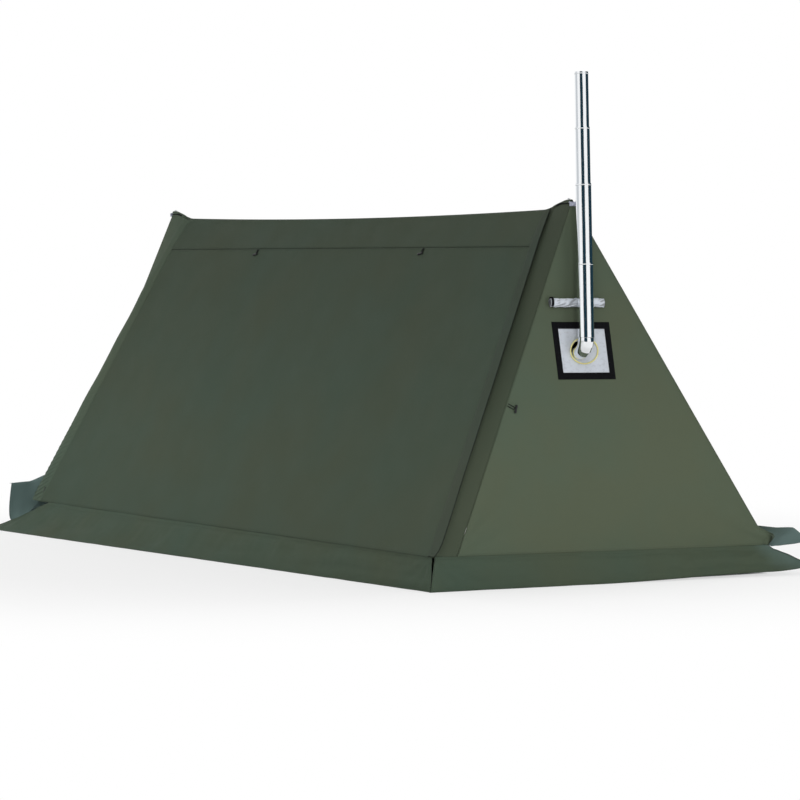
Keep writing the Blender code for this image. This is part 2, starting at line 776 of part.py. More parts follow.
def leg(side, end, name):
    placing, length = leg_frame(side, end)
    inner = POLE_RADIUS - POLE_WALL
    plug, plug_inner = inner - GAP, inner - GAP - POLE_WALL
    bore = POLE_RADIUS + GAP
    foot = [(0, FOOT_WEB), (bore, FOOT_WEB), (bore, FOOT_HEIGHT), (bore + FOOT_LIP, FOOT_HEIGHT)]
    for step in range(FOOT_DOME_STEPS + 1):
        angle = math.pi / 2 * step / FOOT_DOME_STEPS
        foot.append((FOOT_RADIUS * math.cos(angle), -FOOT_RADIUS * math.sin(angle)))
    turned(f"{name}_foot", foot, 16, placing, "black_rubber", closed=False)
    start = FOOT_WEB + GAP
    end_at = length - HUB_REACH - GAP
    joint = lerp(start, end_at, LOWER_SHARE)
    lower = [(POLE_RADIUS, joint), (POLE_RADIUS, start), (inner, start), (inner, joint - POLE_WALL),
             (plug_inner, joint), (plug_inner, joint + POLE_SPIGOT_LENGTH),
             (plug, joint + POLE_SPIGOT_LENGTH), (plug, joint)]
    turned(f"{name}_lower", lower, 16, placing, "pole_steel")
    upper = [(POLE_RADIUS, end_at), (POLE_RADIUS, joint + GAP), (inner, joint + GAP), (inner, end_at)]
    turned(f"{name}_upper", upper, 16, placing, "pole_steel")


def hub(side, name):
    """A cross cylinder with a plug for each leg and the spike that goes up through the cap."""
    centre = hub_centre(side)
    across = frame_of(centre, UP, Vector((1, 0, 0)))
    half = HUB_LENGTH / 2
    body = [(0, half), (HUB_RADIUS, half), (HUB_RADIUS, -half), (0, -half)]
    made = turned(name, body, 20, across, "zinc", closed=False)
    tip = cap_top() + GROMMET_THICKNESS + TIP_RISE - centre.z
    spike = [(0, tip), (TIP_SHANK_RADIUS, tip - TIP_SHANK_RADIUS), (TIP_SHANK_RADIUS, 0), (0, 0)]
    arms = [turned(f"{name}_spike", spike, 12, Matrix.Translation(centre), "zinc", closed=False, hide=True)]
    plug = POLE_RADIUS - POLE_WALL - GAP
    for end in ("front", "rear"):
        placing, length = leg_frame(side, end)
        reach = length - HUB_REACH
        profile = [(0, length), (POLE_RADIUS, length), (POLE_RADIUS, reach), (plug, reach),
                   (plug, reach - HUB_PLUG_LENGTH), (0, reach - HUB_PLUG_LENGTH)]
        arms.append(turned(f"{name}_{end}", profile, 16, placing, "zinc", closed=False, hide=True))
    for arm in arms:
        join = made.modifiers.new(arm.name, "BOOLEAN")
        join.operation = "UNION"
        join.solver = "EXACT"
        join.object = arm
    return made


# Zips: two tapes with raised beads, and a slider that straddles them

def zip_line(side):
    """Where the zip starts at the header seam, its direction down the wall and its length."""
    start = front_point(side * zip_x(HEADER_SHARE), HEADER_SHARE)
    run = front_point(side * zip_x(1), 1) - start
    return start, run.normalized(), run.length


def along_zip(name, side, outline, centre, run, finish, empty):
    """Extrudes an outline of (outwards, off the wall) points along the zip about this distance down it."""
    start, down, _ = zip_line(side)
    placing = frame_of(start + down * centre, Vector((side, 0, 0)), down)
    return plate(name, [[(across, off * side) for across, off in outline]], run, placing, finish, empty)


def zip_tape(name, side, sewn_side, empty):
    """One tape: sewn_side is 1 for the outer one, fixed to the side strip, and -1 for the awning's."""
    length = zip_line(side)[2]
    edge, sewn = ZIP_SPLIT / 2, ZIP_CHANNEL / 2 - GAP * 3
    bead = edge + ZIP_BEAD_WIDTH
    top = ZIP_TAPE + ZIP_BEAD_HEIGHT
    outline = [(edge, 0), (sewn, 0), (sewn, ZIP_TAPE), (bead, ZIP_TAPE), (bead, top), (edge, top)]
    outline = [(across * sewn_side, off) for across, off in outline]
    along_zip(name, side, outline, length / 2, length - ZIP_END_CLEARANCE * 2, "black_webbing", empty)


def zip_slider(name, side, empty):
    """Two plates over and under the tapes, joined by a web in the split between them."""
    low, high = -GAP * 2, ZIP_TAPE + ZIP_BEAD_HEIGHT + GAP * 2
    half, web = SLIDER_WIDTH / 2, SLIDER_WEB / 2
    outline = [(web, high), (half, high), (half, high + SLIDER_PLATE), (-half, high + SLIDER_PLATE),
               (-half, high), (-web, high), (-web, low), (-half, low), (-half, low - SLIDER_PLATE),
               (half, low - SLIDER_PLATE), (half, low), (web, low)]
    centre = slider_share() * zip_line(side)[2]
    along_zip(name, side, outline, centre, SLIDER_LENGTH, "black_plastic", empty)


def slider_share():
    return (SLIDER_REST_SHARE - HEADER_SHARE) / (1 - HEADER_SHARE)


def zip_pull(name, side, empty):
    """The tab that lies on the slider, with an eye at its free end."""
    start, down, length = zip_line(side)
    lift = ZIP_TAPE + ZIP_BEAD_HEIGHT + SLIDER_PLATE + GAP * 3 + PULL_THICKNESS / 2
    place = start + down * (slider_share() * length - PULL_LENGTH / 2) + FRONT_OUT * lift
    end, half = PULL_LENGTH / 2, PULL_WIDTH / 2
    tab = [(end, half), (-end + half, half), (-end, half / 2), (-end, -half / 2), (-end + half, -half),
           (end, -half)]
    eye = [(x - end + half, y) for x, y in oval(PULL_EYE_RADIUS * 2, PULL_EYE_RADIUS * 2, PULL_EYE_SIDES)]
    plate(name, [tab, eye], PULL_THICKNESS, frame_of(place, down, FRONT_OUT), "black_plastic", empty)


# Toggles on cord loops

def toggle(word, seam, run, lie, out, empty):
    """A cord loop that leaves the wall at seam, and at the end of run a waisted toggle along lie."""
    start = seam + out * (CLOTH + GAP + CORD_RADIUS)
    end = seam + run + out * (CLOTH + GAP + TOGGLE_RADIUS)
    frame = frame_of(start, end - start, out)
    reach = (end - start).length - TOGGLE_WAIST - CORD_RADIUS - CORD_SLACK - LOOP_HALF_WIDTH
    points = [(0, -LOOP_HALF_WIDTH, 0)]
    for step in range(LOOP_STEPS + 1):
        angle = math.pi * (step / LOOP_STEPS - 1 / 2)
        points.append((reach + LOOP_HALF_WIDTH * math.cos(angle), LOOP_HALF_WIDTH * math.sin(angle), 0))
    points.append((0, LOOP_HALF_WIDTH, 0))
    wire(f"{word}_loop", points, CORD_RADIUS, frame, "black_webbing", empty)
    half = TOGGLE_LENGTH / 2
    end_radius = TOGGLE_RADIUS * TOGGLE_END_SHARE
    upper = [(0, half), (end_radius, half), (TOGGLE_RADIUS, half - TOGGLE_END), (TOGGLE_RADIUS, TOGGLE_END)]
    profile = upper + [(TOGGLE_WAIST, 0)] + [(radius, -height) for radius, height in reversed(upper)]
    lie = lie - out * lie.dot(out)
    turned(f"{word}_toggle", profile, 12, frame_of(end, out, lie), "black_plastic", empty, closed=False)


def header_toggle(place_x, word, awning_empty):
    down = FRONT_SLOPE.normalized()
    seam = front_point(place_x, HEADER_SHARE) + down * LOOP_SET_IN
    swing = joint_empty(f"header_toggle_swing_{word}", seam + FRONT_OUT * (CLOTH + GAP + CORD_RADIUS))
    carry(swing, awning_empty)
    tilt = math.radians(HEADER_TOGGLE_TILT_DEG)
    lie = Vector((math.cos(tilt), 0, 0)) + down * math.sin(tilt)
    toggle(f"header_{word}", seam, down * HEADER_LOOP_DROP, lie, FRONT_OUT, swing)


def gable_toggle(side, word):
    out = gable_out(side)
    along = (rear_corner(side) - front_corner(side)).normalized()
    seam = apex(side).lerp(strip_corner(side), GABLE_TOGGLE_SHARE) + along * LOOP_SET_IN
    swing = joint_empty(f"gable_toggle_swing_{word}", seam + out * (CLOTH + GAP + CORD_RADIUS))
    down = (along.cross(out) * side).normalized()
    run = along * GABLE_LOOP_REACH + down * GABLE_LOOP_DROP
    toggle(f"gable_{word}", seam, run, along * GABLE_TOGGLE_LEAN_SHARE - down, out, swing)


# Stove jack, its rolled cover and ties

def jack_outline(inset):
    """A leaning square, as the jack is sewn, shrunk by inset on every side."""
    half_width, half_height = JACK_WIDTH / 2 - inset, JACK_HEIGHT / 2 - inset
    lean = JACK_SKEW / JACK_HEIGHT
    corners = ((-half_width, -half_height), (half_width, -half_height),
               (half_width, half_height), (-half_width, half_height))
    return [(x - lean * y, y) for x, y in corners]


def oval(width, height, sides):
    angles = [math.tau * step / sides for step in range(sides)]
    return [(width / 2 * math.cos(angle), height / 2 * math.sin(angle)) for angle in angles]


def jack_frame(along=0.0, up=0.0, out=0.0):
    """X rearwards along the right gable, Y up it and Z out of it, from the middle of the jack."""
    middle = gable_frame(RIGHT, RIDGE_Y + JACK_CENTRE_Y, JACK_CENTRE_Z, CLOTH)
    return middle @ Matrix.Translation((along, up, out))


def jack():
    border = jack_frame(out=GAP + BORDER_THICKNESS / 2)
    frame = [jack_outline(0), jack_outline(JACK_BORDER)]
    plate("jack_border", frame, BORDER_THICKNESS, border, "black_webbing")
    patch = jack_frame(out=GAP + PATCH_THICKNESS / 2)
    hole = oval(HOLE_WIDTH, HOLE_HEIGHT, HOLE_SIDES)
    plate("jack_patch", [jack_outline(JACK_BORDER + GAP), hole], PATCH_THICKNESS, patch, "silver_cloth")
    rim = jack_frame(out=GAP * 2 + PATCH_THICKNESS + RIM_RADIUS)
    ring = oval(HOLE_WIDTH + RIM_SETBACK * 2, HOLE_HEIGHT + RIM_SETBACK * 2, HOLE_SIDES)
    wire("jack_rim", [(x, y, 0) for x, y in ring], RIM_RADIUS, rim, "rim_thread", cyclic=True, resolution=2)


def jack_roll():
    """The cover of the jack, rolled up above it and held by two ties."""
    out = GAP + (TIE_THICKNESS + GAP + ROLL_RADIUS) * ROLL_FLAT_SHARE
    middle = jack_frame(ROLL_OFFSET, ROLL_RISE, out)
    roll = frame_of(middle.translation, middle.col[1].xyz, middle.col[0].xyz)
    plate("jack_cover_roll", [spiral_outline()], ROLL_LENGTH, roll, "silver_cloth")
    for place, word in ((TIE_INSET - ROLL_LENGTH / 2, "front"), (ROLL_LENGTH * REAR_TIE_SHARE, "rear")):
        level = roll @ Matrix.Translation((0, 0, place))
        inner, half = ROLL_RADIUS + GAP, TIE_WIDTH / 2
        band = [(inner + TIE_THICKNESS, half), (inner + TIE_THICKNESS, -half), (inner, -half), (inner, half)]
        flat = level @ Matrix.Diagonal((1, ROLL_FLAT_SHARE, 1, 1))
        turned(f"jack_cover_tie_{word}", band, 24, flat, "black_webbing")


def spiral_outline():
    """The section of the rolled cover: a strip of cloth wound round its core, pressed flat to the wall."""
    outer, inner = [], []
    for step in range(ROLL_STEPS + 1):
        share = step / ROLL_STEPS
        angle = math.tau * ROLL_TURNS * share
        radius = lerp(ROLL_CORE, ROLL_RADIUS, share)
        thin = radius - ROLL_CLOTH
        outer.append((radius * math.cos(angle), radius * math.sin(angle) * ROLL_FLAT_SHARE))
        inner.append((thin * math.cos(angle), thin * math.sin(angle) * ROLL_FLAT_SHARE))
    return outer + inner[::-1]


# Flue: an elbow through the jack, and pipes that slide inside one another

def flue_rest():
    """How low the elbow's axis lies in the jack's hole, with the pipe resting on the hole's edge."""
    corners = oval(HOLE_WIDTH, HOLE_HEIGHT, HOLE_SIDES)
    edge = []
    for first, last in zip(corners, corners[1:] + corners[:1]):
        for step in range(HOLE_EDGE_STEPS):
            share = step / HOLE_EDGE_STEPS
            edge.append((lerp(first[0], last[0], share), lerp(first[1], last[1], share)))
    reach = ELBOW_RADIUS + GAP
    below = [(x - FLUE_OFFSET, y) for x, y in edge if y < 0 and abs(x - FLUE_OFFSET) < reach]
    return max(y + math.sqrt(reach ** 2 - x ** 2) for x, y in below)


def flue_elbow(placing):
    bend_start = ELBOW_STANDOFF
    points = [(0, 0, -ELBOW_INSIDE), (0, 0, bend_start)]
    for gore in range(ELBOW_GORES):
        angle = (gore + 1 / 2) / ELBOW_GORES * math.pi / 2
        points.append((0, ELBOW_BEND * (1 - math.cos(angle)), bend_start + ELBOW_BEND * math.sin(angle)))
    points.append((0, ELBOW_BEND + ELBOW_SOCKET, bend_start + ELBOW_BEND))
    drawn = wire("flue_elbow", points, ELBOW_RADIUS, placing, "flue_steel", resolution=8)
    drawn.data.use_fill_caps = False
    elbow = as_mesh(drawn)
    wall = elbow.modifiers.new("wall", "SOLIDIFY")
    wall.thickness = FLUE_WALL
    wall.offset = -1
    wall.use_even_offset = True


def flue_pipe(name, radius, bottom, top, sliding, nested, placing, empty=None):
    """A pipe with a bead at its rim; sliding ones have a flared foot, and nested ones' rims close in."""
    inner = radius - FLUE_WALL
    flare = FLUE_STEP - FLUE_WALL - GAP
    profile = [(radius, top), (radius, top - BEAD_RUN), (radius + BEAD_HEIGHT, top - BEAD_RUN * 2),
               (radius, top - BEAD_RUN * 3)]
    if sliding:
        profile += [(radius, bottom + FLUE_LIP * 2), (radius + flare, bottom + FLUE_LIP),
                    (radius + flare, bottom), (inner + flare, bottom), (inner + flare, bottom + FLUE_LIP),
                    (inner, bottom + FLUE_LIP * 2)]
    else:
        profile += [(radius, bottom), (inner, bottom)]
    if nested:
        rim = radius - FLUE_STEP + GAP
        profile += [(inner, top - FLUE_LIP * 2), (rim, top - FLUE_LIP), (rim, top)]
    else:
        profile.append((inner, top))
    turned(name, profile, 24, placing, "flue_steel", empty)


def flue():
    elbow = jack_frame(FLUE_OFFSET, flue_rest(), 0)
    flue_elbow(elbow)
    centre = elbow @ Vector((0, 0, ELBOW_STANDOFF + ELBOW_BEND))
    axis = frame_of(centre, elbow.col[0].xyz, elbow.col[1].xyz)
    top = ELBOW_BEND + RISER_VISIBLE
    radius = FLUE_RISER_RADIUS
    flue_pipe("flue_riser", radius, ELBOW_BEND + ELBOW_SEAT, top, False, True, axis)
    carrier = None
    for word, run in (("second", SECOND_VISIBLE), ("third", THIRD_VISIBLE), ("top", TOP_VISIBLE)):
        radius -= FLUE_STEP
        slide = joint_empty(f"flue_slide_{word}", axis @ Matrix.Translation((0, 0, top)))
        carry(slide, carrier)
        flue_pipe(f"flue_{word}", radius, top - FLUE_LAP, top + run, True, word != "top", axis, slide)
        carrier = slide
        top += run


# Assembly

hinge_place = front_point(0, HEADER_SHARE) + FRONT_OUT * CLOTH
awning = joint_empty("awning_hinge", hinge_place)
rear_panel = rear_wall()
strap = ridge_webbing()
header_band()
front_panel(awning)
front_skirt(awning)
rear_skirt()
walls = {}
for side, word in ((LEFT, "left"), (RIGHT, "right")):
    strip = side_strip(side, f"side_strip_{word}")
    walls[side] = gable(side, f"gable_{word}")
    flap_head(side, f"flap_head_{word}")
    flap_leaf(side, f"flap_{word}", awning)
    gable_skirt(side, f"gable_skirt_{word}")
    cap = ridge_cap(side, f"ridge_cap_{word}")
    cutter = tip_cutter(side)
    for pierced in (cap, strap, rear_panel, strip):
        cut(pierced, cutter)
    grommet(side, f"cap_grommet_{word}")
    hub(side, f"pole_hub_{word}")
    for end in ("front", "rear"):
        leg(side, end, f"pole_{end}_{word}")
    zip_tape(f"zip_tape_{word}_fixed", side, 1, None)
    zip_tape(f"zip_tape_{word}_awning", side, -1, awning)
    slide = joint_empty(f"zip_slide_{word}", zip_line(side)[0])
    zip_slider(f"zip_slider_{word}", side, slide)
    zip_pull(f"zip_pull_{word}", side, slide)
for place_x, word in zip(HEADER_TOGGLE_X, ("left", "right")):
    header_toggle(place_x, word, awning)
gable_toggle(RIGHT, "right")

jack()
jack_roll()
hole_profile = [(0, CUT_OVERRUN), (HOLE_WIDTH / 2, CUT_OVERRUN), (HOLE_WIDTH / 2, -CUT_OVERRUN),
                (0, -CUT_OVERRUN)]
hole_place = jack_frame() @ Matrix.Diagonal((1, HOLE_HEIGHT / HOLE_WIDTH, 1, 1))
jack_cutter = turned("jack_cutter", hole_profile, HOLE_SIDES, hole_place, "zinc", closed=False, hide=True)
cut(walls[RIGHT], jack_cutter)
flue()
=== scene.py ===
import math

import bmesh
import bpy
from mathutils import Matrix, Vector, noise


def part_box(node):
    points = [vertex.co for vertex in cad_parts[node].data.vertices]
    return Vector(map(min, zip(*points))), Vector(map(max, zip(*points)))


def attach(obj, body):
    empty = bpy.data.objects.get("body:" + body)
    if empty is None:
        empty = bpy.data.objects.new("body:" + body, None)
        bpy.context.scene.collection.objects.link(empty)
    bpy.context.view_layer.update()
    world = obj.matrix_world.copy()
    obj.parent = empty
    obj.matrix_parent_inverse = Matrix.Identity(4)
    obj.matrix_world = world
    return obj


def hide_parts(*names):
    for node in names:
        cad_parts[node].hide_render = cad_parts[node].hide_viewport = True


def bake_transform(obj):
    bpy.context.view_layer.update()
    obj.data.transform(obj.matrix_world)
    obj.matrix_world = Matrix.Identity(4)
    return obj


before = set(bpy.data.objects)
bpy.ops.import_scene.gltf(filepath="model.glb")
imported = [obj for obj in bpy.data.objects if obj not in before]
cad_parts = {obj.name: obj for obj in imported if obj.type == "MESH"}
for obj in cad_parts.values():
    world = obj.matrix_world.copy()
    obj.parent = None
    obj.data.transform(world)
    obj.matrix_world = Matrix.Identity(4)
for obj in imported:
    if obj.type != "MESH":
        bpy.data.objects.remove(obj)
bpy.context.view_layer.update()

left, right = -1, 1
bothEnds = ((left, "left"), (right, "right"))
up = Vector((0, 0, 1))

# The tent's sizes in metres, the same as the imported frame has
tent = {
    "halfRidge": 1.85, "halfBase": 1.93, "ridgeHeight": 1.60,
    "frontDepth": 0.73, "rearDepth": 0.97, "frontSeam": 0.14, "rearSeam": 0.12,
    "cloth": 0.002, "gap": 0.0003, "wall": 0.0012,
    "sag": 0.022, "lift": 0.030, "liftRun": 0.165, "flatEnd": 0.050,
    "headerShare": 0.13, "rearFadeShare": 0.30, "apexShare": 0.012,
    "stitchTop": 1.645, "stitchBase": 1.900, "zipTop": 1.680, "zipBase": 1.915,
    "stripSetback": 0.118, "zipChannel": 0.026, "lap": 0.014,
}
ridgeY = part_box("rear_wall")[0].y - tent["gap"]
groundGap = 0.0005  # the floor lies this far under the hems

def lerp(a, b, share):
    return a + (b - a) * share

def smooth(share):
    share = min(max(share, 0.0), 1.0)
    return share * share * (3 - 2 * share)

# Shader and geometry trees. A Link is one output socket that sums can be written with.

class Link:
    def __init__(self, tree, socket):
        self.tree, self.socket = tree, socket

    def sum(self, operation, other, turned=False):
        pair = (other, self) if turned else (self, other)
        return self.tree.add("ShaderNodeMath", {"operation": operation}, dict(enumerate(pair)))

    def __add__(self, other):
        return self.sum("ADD", other)

    def __sub__(self, other):
        return self.sum("SUBTRACT", other)

    def __rsub__(self, other):
        return self.sum("SUBTRACT", other, True)

    def __mul__(self, other):
        return self.sum("MULTIPLY", other)

    def __truediv__(self, other):
        return self.sum("DIVIDE", other)

class Tree:
    def __init__(self, nodeTree):
        self.nodeTree = nodeTree

    def add(self, kind, settings=None, values=None, output=0):
        node = self.nodeTree.nodes.new(kind)
        for key, value in (settings or {}).items():
            if key == "stops":
                self.setStops(node.color_ramp, value)
            else:
                setattr(node, key, value)
        for key, value in (values or {}).items():
            self.join(node.inputs[key], value)
        return Link(self, node.outputs[output])

    def join(self, target, value):
        if isinstance(value, Link):
            self.nodeTree.links.new(value.socket, target)
        else:
            target.default_value = value

    def setStops(self, ramp, stops):
        while len(ramp.elements) < len(stops):
            ramp.elements.new(1.0)
        for element, (place, shade) in zip(ramp.elements, stops):
            element.position = place
            element.color = (shade, shade, shade, 1)

class Paint(Tree):
    def __init__(self, name, roughness, metallic=0.0, gloss=0.5):
        self.material = bpy.data.materials.new(name)
        self.material.use_nodes = True
        super().__init__(self.material.node_tree)
        self.shader = self.nodeTree.nodes["Principled BSDF"]
        for key, value in (("Roughness", roughness), ("Metallic", metallic), ("Specular IOR Level", gloss)):
            self.shader.inputs[key].default_value = value

    def place(self, kind, scale=(1, 1, 1)):
        start = self.add("ShaderNodeTexCoord", output=kind)
        return self.add("ShaderNodeMapping", values={"Vector": start, "Scale": scale})

    def uv(self, scale=(1, 1, 1)):
        return self.place("UV", scale)

    def object(self):
        return self.place("Object")

    def parts(self, vector):
        split = self.nodeTree.nodes.new("ShaderNodeSeparateXYZ")
        self.join(split.inputs[0], vector)
        return [Link(self, part) for part in split.outputs]

    def attribute(self, name):
        return self.add("ShaderNodeAttribute", {"attribute_name": name}, output="Fac")

    def between(self, value, low, high):
        # 0 up to low, 1 from high on, with soft ends
        values = {"Value": value, "From Min": low, "From Max": high}
        return self.add("ShaderNodeMapRange", {"interpolation_type": "SMOOTHSTEP"}, values)

    def grain(self, place, scale, detail=2.0, roughness=0.5):
        values = {"Vector": place, "Scale": scale, "Detail": detail, "Roughness": roughness}
        return self.add("ShaderNodeTexNoise", values=values)

    def ramp(self, factor, stops):
        return self.add("ShaderNodeValToRGB", {"stops": stops}, {"Fac": factor})

    def mix(self, factor, first, second):
        node = self.nodeTree.nodes.new("ShaderNodeMix")
        node.data_type = "RGBA"
        for key, value in (("Factor", factor), ("A", first), ("B", second)):
            socket = next(s for s in node.inputs if s.name == key and s.enabled)
            self.join(socket, value)
        return Link(self, next(s for s in node.outputs if s.enabled))

    def threads(self, place, pitch):
        # crossing yarns, high where a yarn lies on top
        across, along = ((part * (math.tau / pitch)).sum("SINE", 0.0) for part in self.parts(place)[:2])
        return across * along

    def bump(self, height, distance, strength=1.0):
        values = {"Height": height, "Distance": distance, "Strength": strength}
        self.join(self.shader.inputs["Normal"], self.add("ShaderNodeBump", values=values))

    def set(self, key, value):
        self.join(self.shader.inputs[key], value)

def shade(colour, factor):
    return (*(min(1.0, part * factor) for part in colour), 1.0)

# Cloth finishes

clothLook = {
    # front, gable, strip, skirt, flap and band are one olive cloth given lighter and darker copies: painted light
    # on the gable and the left band, painted shade on the strip and the flap
    "front": (0.0495, 0.068, 0.0460), "gable": (0.0735, 0.0945, 0.062), "strip": (0.0500, 0.0630, 0.0415),
    "skirt": (0.0530, 0.0735, 0.0495), "flap": (0.0455, 0.0590, 0.0420), "band": (0.069, 0.094, 0.065),
    "lining": (0.112, 0.166, 0.158), "roughness": 0.78, "gloss": 0.16,
    # metres of a yarn, and noise sizes to a metre
    "yarn": 0.0012, "cloud": 1.7, "worn": 7.0, "crease": 24.0, "slub": (14, 210, 1), "weft": (210, 14, 1),
    # shares of dark that are mixed in: painted shade up the wall between two heights, painted shade in a seam, and
    # over the yarns
    "dim": 0.20, "dimFrom": 0.25, "dimTo": 1.5, "paintedShadeTone": 0.16, "fleck": 0.10, "fleckTone": 1.5, "tint": 0.05,
}

def clothPaint(name, colour, warm=1.0):
    # dense plain-woven tent cloth with a little cloudiness in the dye, with painted shade along its seams and folds
    # and painted shade higher up the wall
    look = clothLook
    paint = Paint(name, look["roughness"], gloss=look["gloss"])
    cloud = paint.grain(paint.object(), look["cloud"], 3.0, 0.55)
    patch = paint.ramp(cloud, [(0.35, 0.0), (0.65, 1.0)])
    red, green, blue = colour
    brown = (red * (1 + 0.06 * warm), green * 0.99, blue * (1 - 0.04 * warm), 1)
    teal = (red * (1 - look["tint"] * warm), green * 1.01, blue * (1 + look["tint"] * warm), 1)
    base = paint.mix(patch, teal, brown)
    # the coated colour where a lifted skirt end shows its coated side; on the gable's pleat tip the same mix is a
    # painted highlight
    base = paint.mix(paint.attribute("coated"), base, shade(look["lining"], 1))
    # painted shade: the cloth darkens towards black up the wall between two heights
    high = paint.between(paint.parts(paint.object())[2], look["dimFrom"], look["dimTo"])
    base = paint.mix(high * look["dim"], base, shade(colour, 0.0))
    # painted shade along seams, the flaps' edges and wrinkles, and the pleat's fold
    seam = paint.attribute("seamShade")
    base = paint.mix(seam, base, shade(colour, look["paintedShadeTone"]))
    slub = paint.grain(paint.uv(look["slub"]), 3.0, 2.0)
    weft = paint.grain(paint.uv(look["weft"]), 3.0, 2.0)
    fleck = paint.ramp(slub * 0.5 + weft * 0.5, [(0.30, 0.0), (0.70, 1.0)])
    paint.set("Base Color", paint.mix(fleck * look["fleck"] * (1 - seam), base, shade(colour, look["fleckTone"])))
    paint.set("Roughness", paint.grain(paint.object(), look["worn"], 2.0) * 0.16 + (look["roughness"] - 0.08))
    crease = paint.grain(paint.object(), look["crease"], 3.0)
    paint.bump(paint.threads(paint.uv(), look["yarn"]) * 0.10 + slub * 0.20 + crease * 1.1, 0.0011)
    return paint.material

def webbingPaint(name, colour, rib):
    paint = Paint(name, 0.7, gloss=0.05)
    weave = paint.threads(paint.uv(), rib)
    worn = paint.grain(paint.uv(), 90.0, 3.0)
    frayed = paint.ramp(worn, [(0.45, 0.0), (0.85, 1.0)])
    paint.set("Base Color", paint.mix(frayed, shade(colour, 1), shade(colour, 1.9)))
    paint.set("Roughness", worn * 0.2 + 0.6)
    paint.bump(weave * 0.8 + worn * 0.2, 0.0006)
    return paint.material

def silverPaint(name, tone, metal=0.10, rough=0.38, depth=0.0007):
    # aluminised glass cloth: a pale coat that crazes along the folds
    paint = Paint(name, 0.5, gloss=0.35)
    cloud = paint.grain(paint.object(), 16.0, 3.0)
    crazed = paint.grain(paint.uv((1, 1.6, 1)), 46.0, 5.0, 0.7)
    grey = (0.94, 1.0, 1.09)
    pale = paint.ramp(cloud, [(0.3, 0.0), (0.7, 1.0)])
    base = paint.mix(pale, shade(grey, tone * 0.94), shade(grey, tone * 1.05))
    line = paint.ramp(crazed, [(0.40, 1.0), (0.47, 0.0)])
    base = paint.mix(line * 0.30, base, shade(grey, tone * 0.6))
    # painted shade in the folds of the rolled cover, at its open ends and on its inner turns
    paint.set("Base Color", paint.mix(paint.attribute("seamShade"), base, (0.035, 0.036, 0.042, 1)))
    paint.set("Roughness", crazed * 0.25 + rough)
    paint.set("Metallic", cloud * 0.10 + metal)
    paint.bump(crazed * 0.8 + paint.threads(paint.uv(), 0.0016) * 0.3, depth)
    return paint.material

def steelPaint(name, colour, low, streak):
    # drawn along its length, so the grain is long in V
    paint = Paint(name, low, metallic=1.0)
    line = paint.grain(paint.uv((1, 0.012, 1)), 700.0, 2.0)
    soft = paint.grain(paint.object(), 9.0, 2.0)
    paint.set("Base Color", paint.mix(line * streak, shade(colour, 1), shade(colour, 0.72)))
    paint.set("Roughness", line * 0.06 + soft * 0.08 + low - 0.06)
    paint.bump(line * 0.5 + soft * 0.4, 0.00012)
    return paint.material

def plainPaint(name, colour, roughness, metallic=0.0, grainSize=120.0, depth=0.0002):
    paint = Paint(name, roughness, metallic=metallic, gloss=0.3)
    fine = paint.grain(paint.object(), grainSize, 3.0)
    broad = paint.grain(paint.object(), grainSize / 9, 2.0)
    paint.set("Base Color", paint.mix(broad, shade(colour, 0.8), shade(colour, 1.3)))
    paint.set("Roughness", fine * 0.2 + roughness - 0.1)
    paint.bump(fine, depth)
    return paint.material

def cordPaint(name, colour, pitch):
    paint = Paint(name, 0.8, gloss=0.12)
    braid = paint.threads(paint.uv(), pitch)
    fuzz = paint.grain(paint.object(), 900.0, 2.0)
    paint.set("Base Color", paint.mix(fuzz, shade(colour, 0.75), shade(colour, 1.35)))
    paint.set("Roughness", fuzz * 0.2 + 0.7)
    paint.bump(braid + fuzz * 0.4, 0.0004)
    return paint.material

finishes = {
    # the olive finishes are lit and shaded copies of one cloth: painted light and painted shade by face
    "front": clothPaint("oliveFrontCloth", clothLook["front"]),
    "gable": clothPaint("oliveGableCloth", clothLook["gable"]),
    "strip": clothPaint("oliveStripCloth", clothLook["strip"], 0.4),
    "skirt": clothPaint("oliveSkirtCloth", clothLook["skirt"], 1.3),
    "flap": clothPaint("oliveFlapCloth", clothLook["flap"]),
    "band": clothPaint("oliveBandCloth", clothLook["band"]),
    "lining": clothPaint("coatedLining", clothLook["lining"], 0.4),
    "webbing": webbingPaint("blackWebbing", (0.0052, 0.0053, 0.0064), 0.0020),
    "zipTape": webbingPaint("zipTapeCloth", (0.010, 0.010, 0.011), 0.0012),
    "tab": webbingPaint("greyTabWebbing", (0.42, 0.44, 0.54), 0.0014),
    "silver": silverPaint("aluminisedCloth", 0.55),
    "foil": silverPaint("aluminisedRoll", 0.80, 0.15, 0.26, 0.0016),
    "rim": cordPaint("rimThread", (0.78, 0.70, 0.30), 0.0022),
    "seamThread": cordPaint("seamThread", (0.020, 0.026, 0.020), 0.0010),
    "blackCord": cordPaint("blackCord", (0.012, 0.012, 0.013), 0.0016),
    "flue": steelPaint("flueSteel", (0.90, 0.92, 0.94), 0.085, 0.10),
    "pole": steelPaint("poleSteel", (0.20, 0.21, 0.22), 0.34, 0.30),
    "zinc": plainPaint("zincPlate", (0.50, 0.51, 0.53), 0.36, 1.0, 260.0, 0.0001),
    "plastic": plainPaint("togglePlastic", (0.012, 0.012, 0.013), 0.42, 0.0, 600.0, 0.00008),
    "rubber": plainPaint("footRubber", (0.016, 0.016, 0.016), 0.86, 0.0, 340.0, 0.0003),
}
print("finishes made")

# Surfaces of the tent: a place along the ridge and a share of the way down

def ridgeDrop(x):
    reach = tent["halfRidge"] - tent["flatEnd"]
    sag = tent["sag"] * max(0.0, 1 - (x / reach) ** 2)
    return sag + tent["lift"] * (1 - smooth((abs(x) - reach + tent["liftRun"]) / tent["liftRun"]))

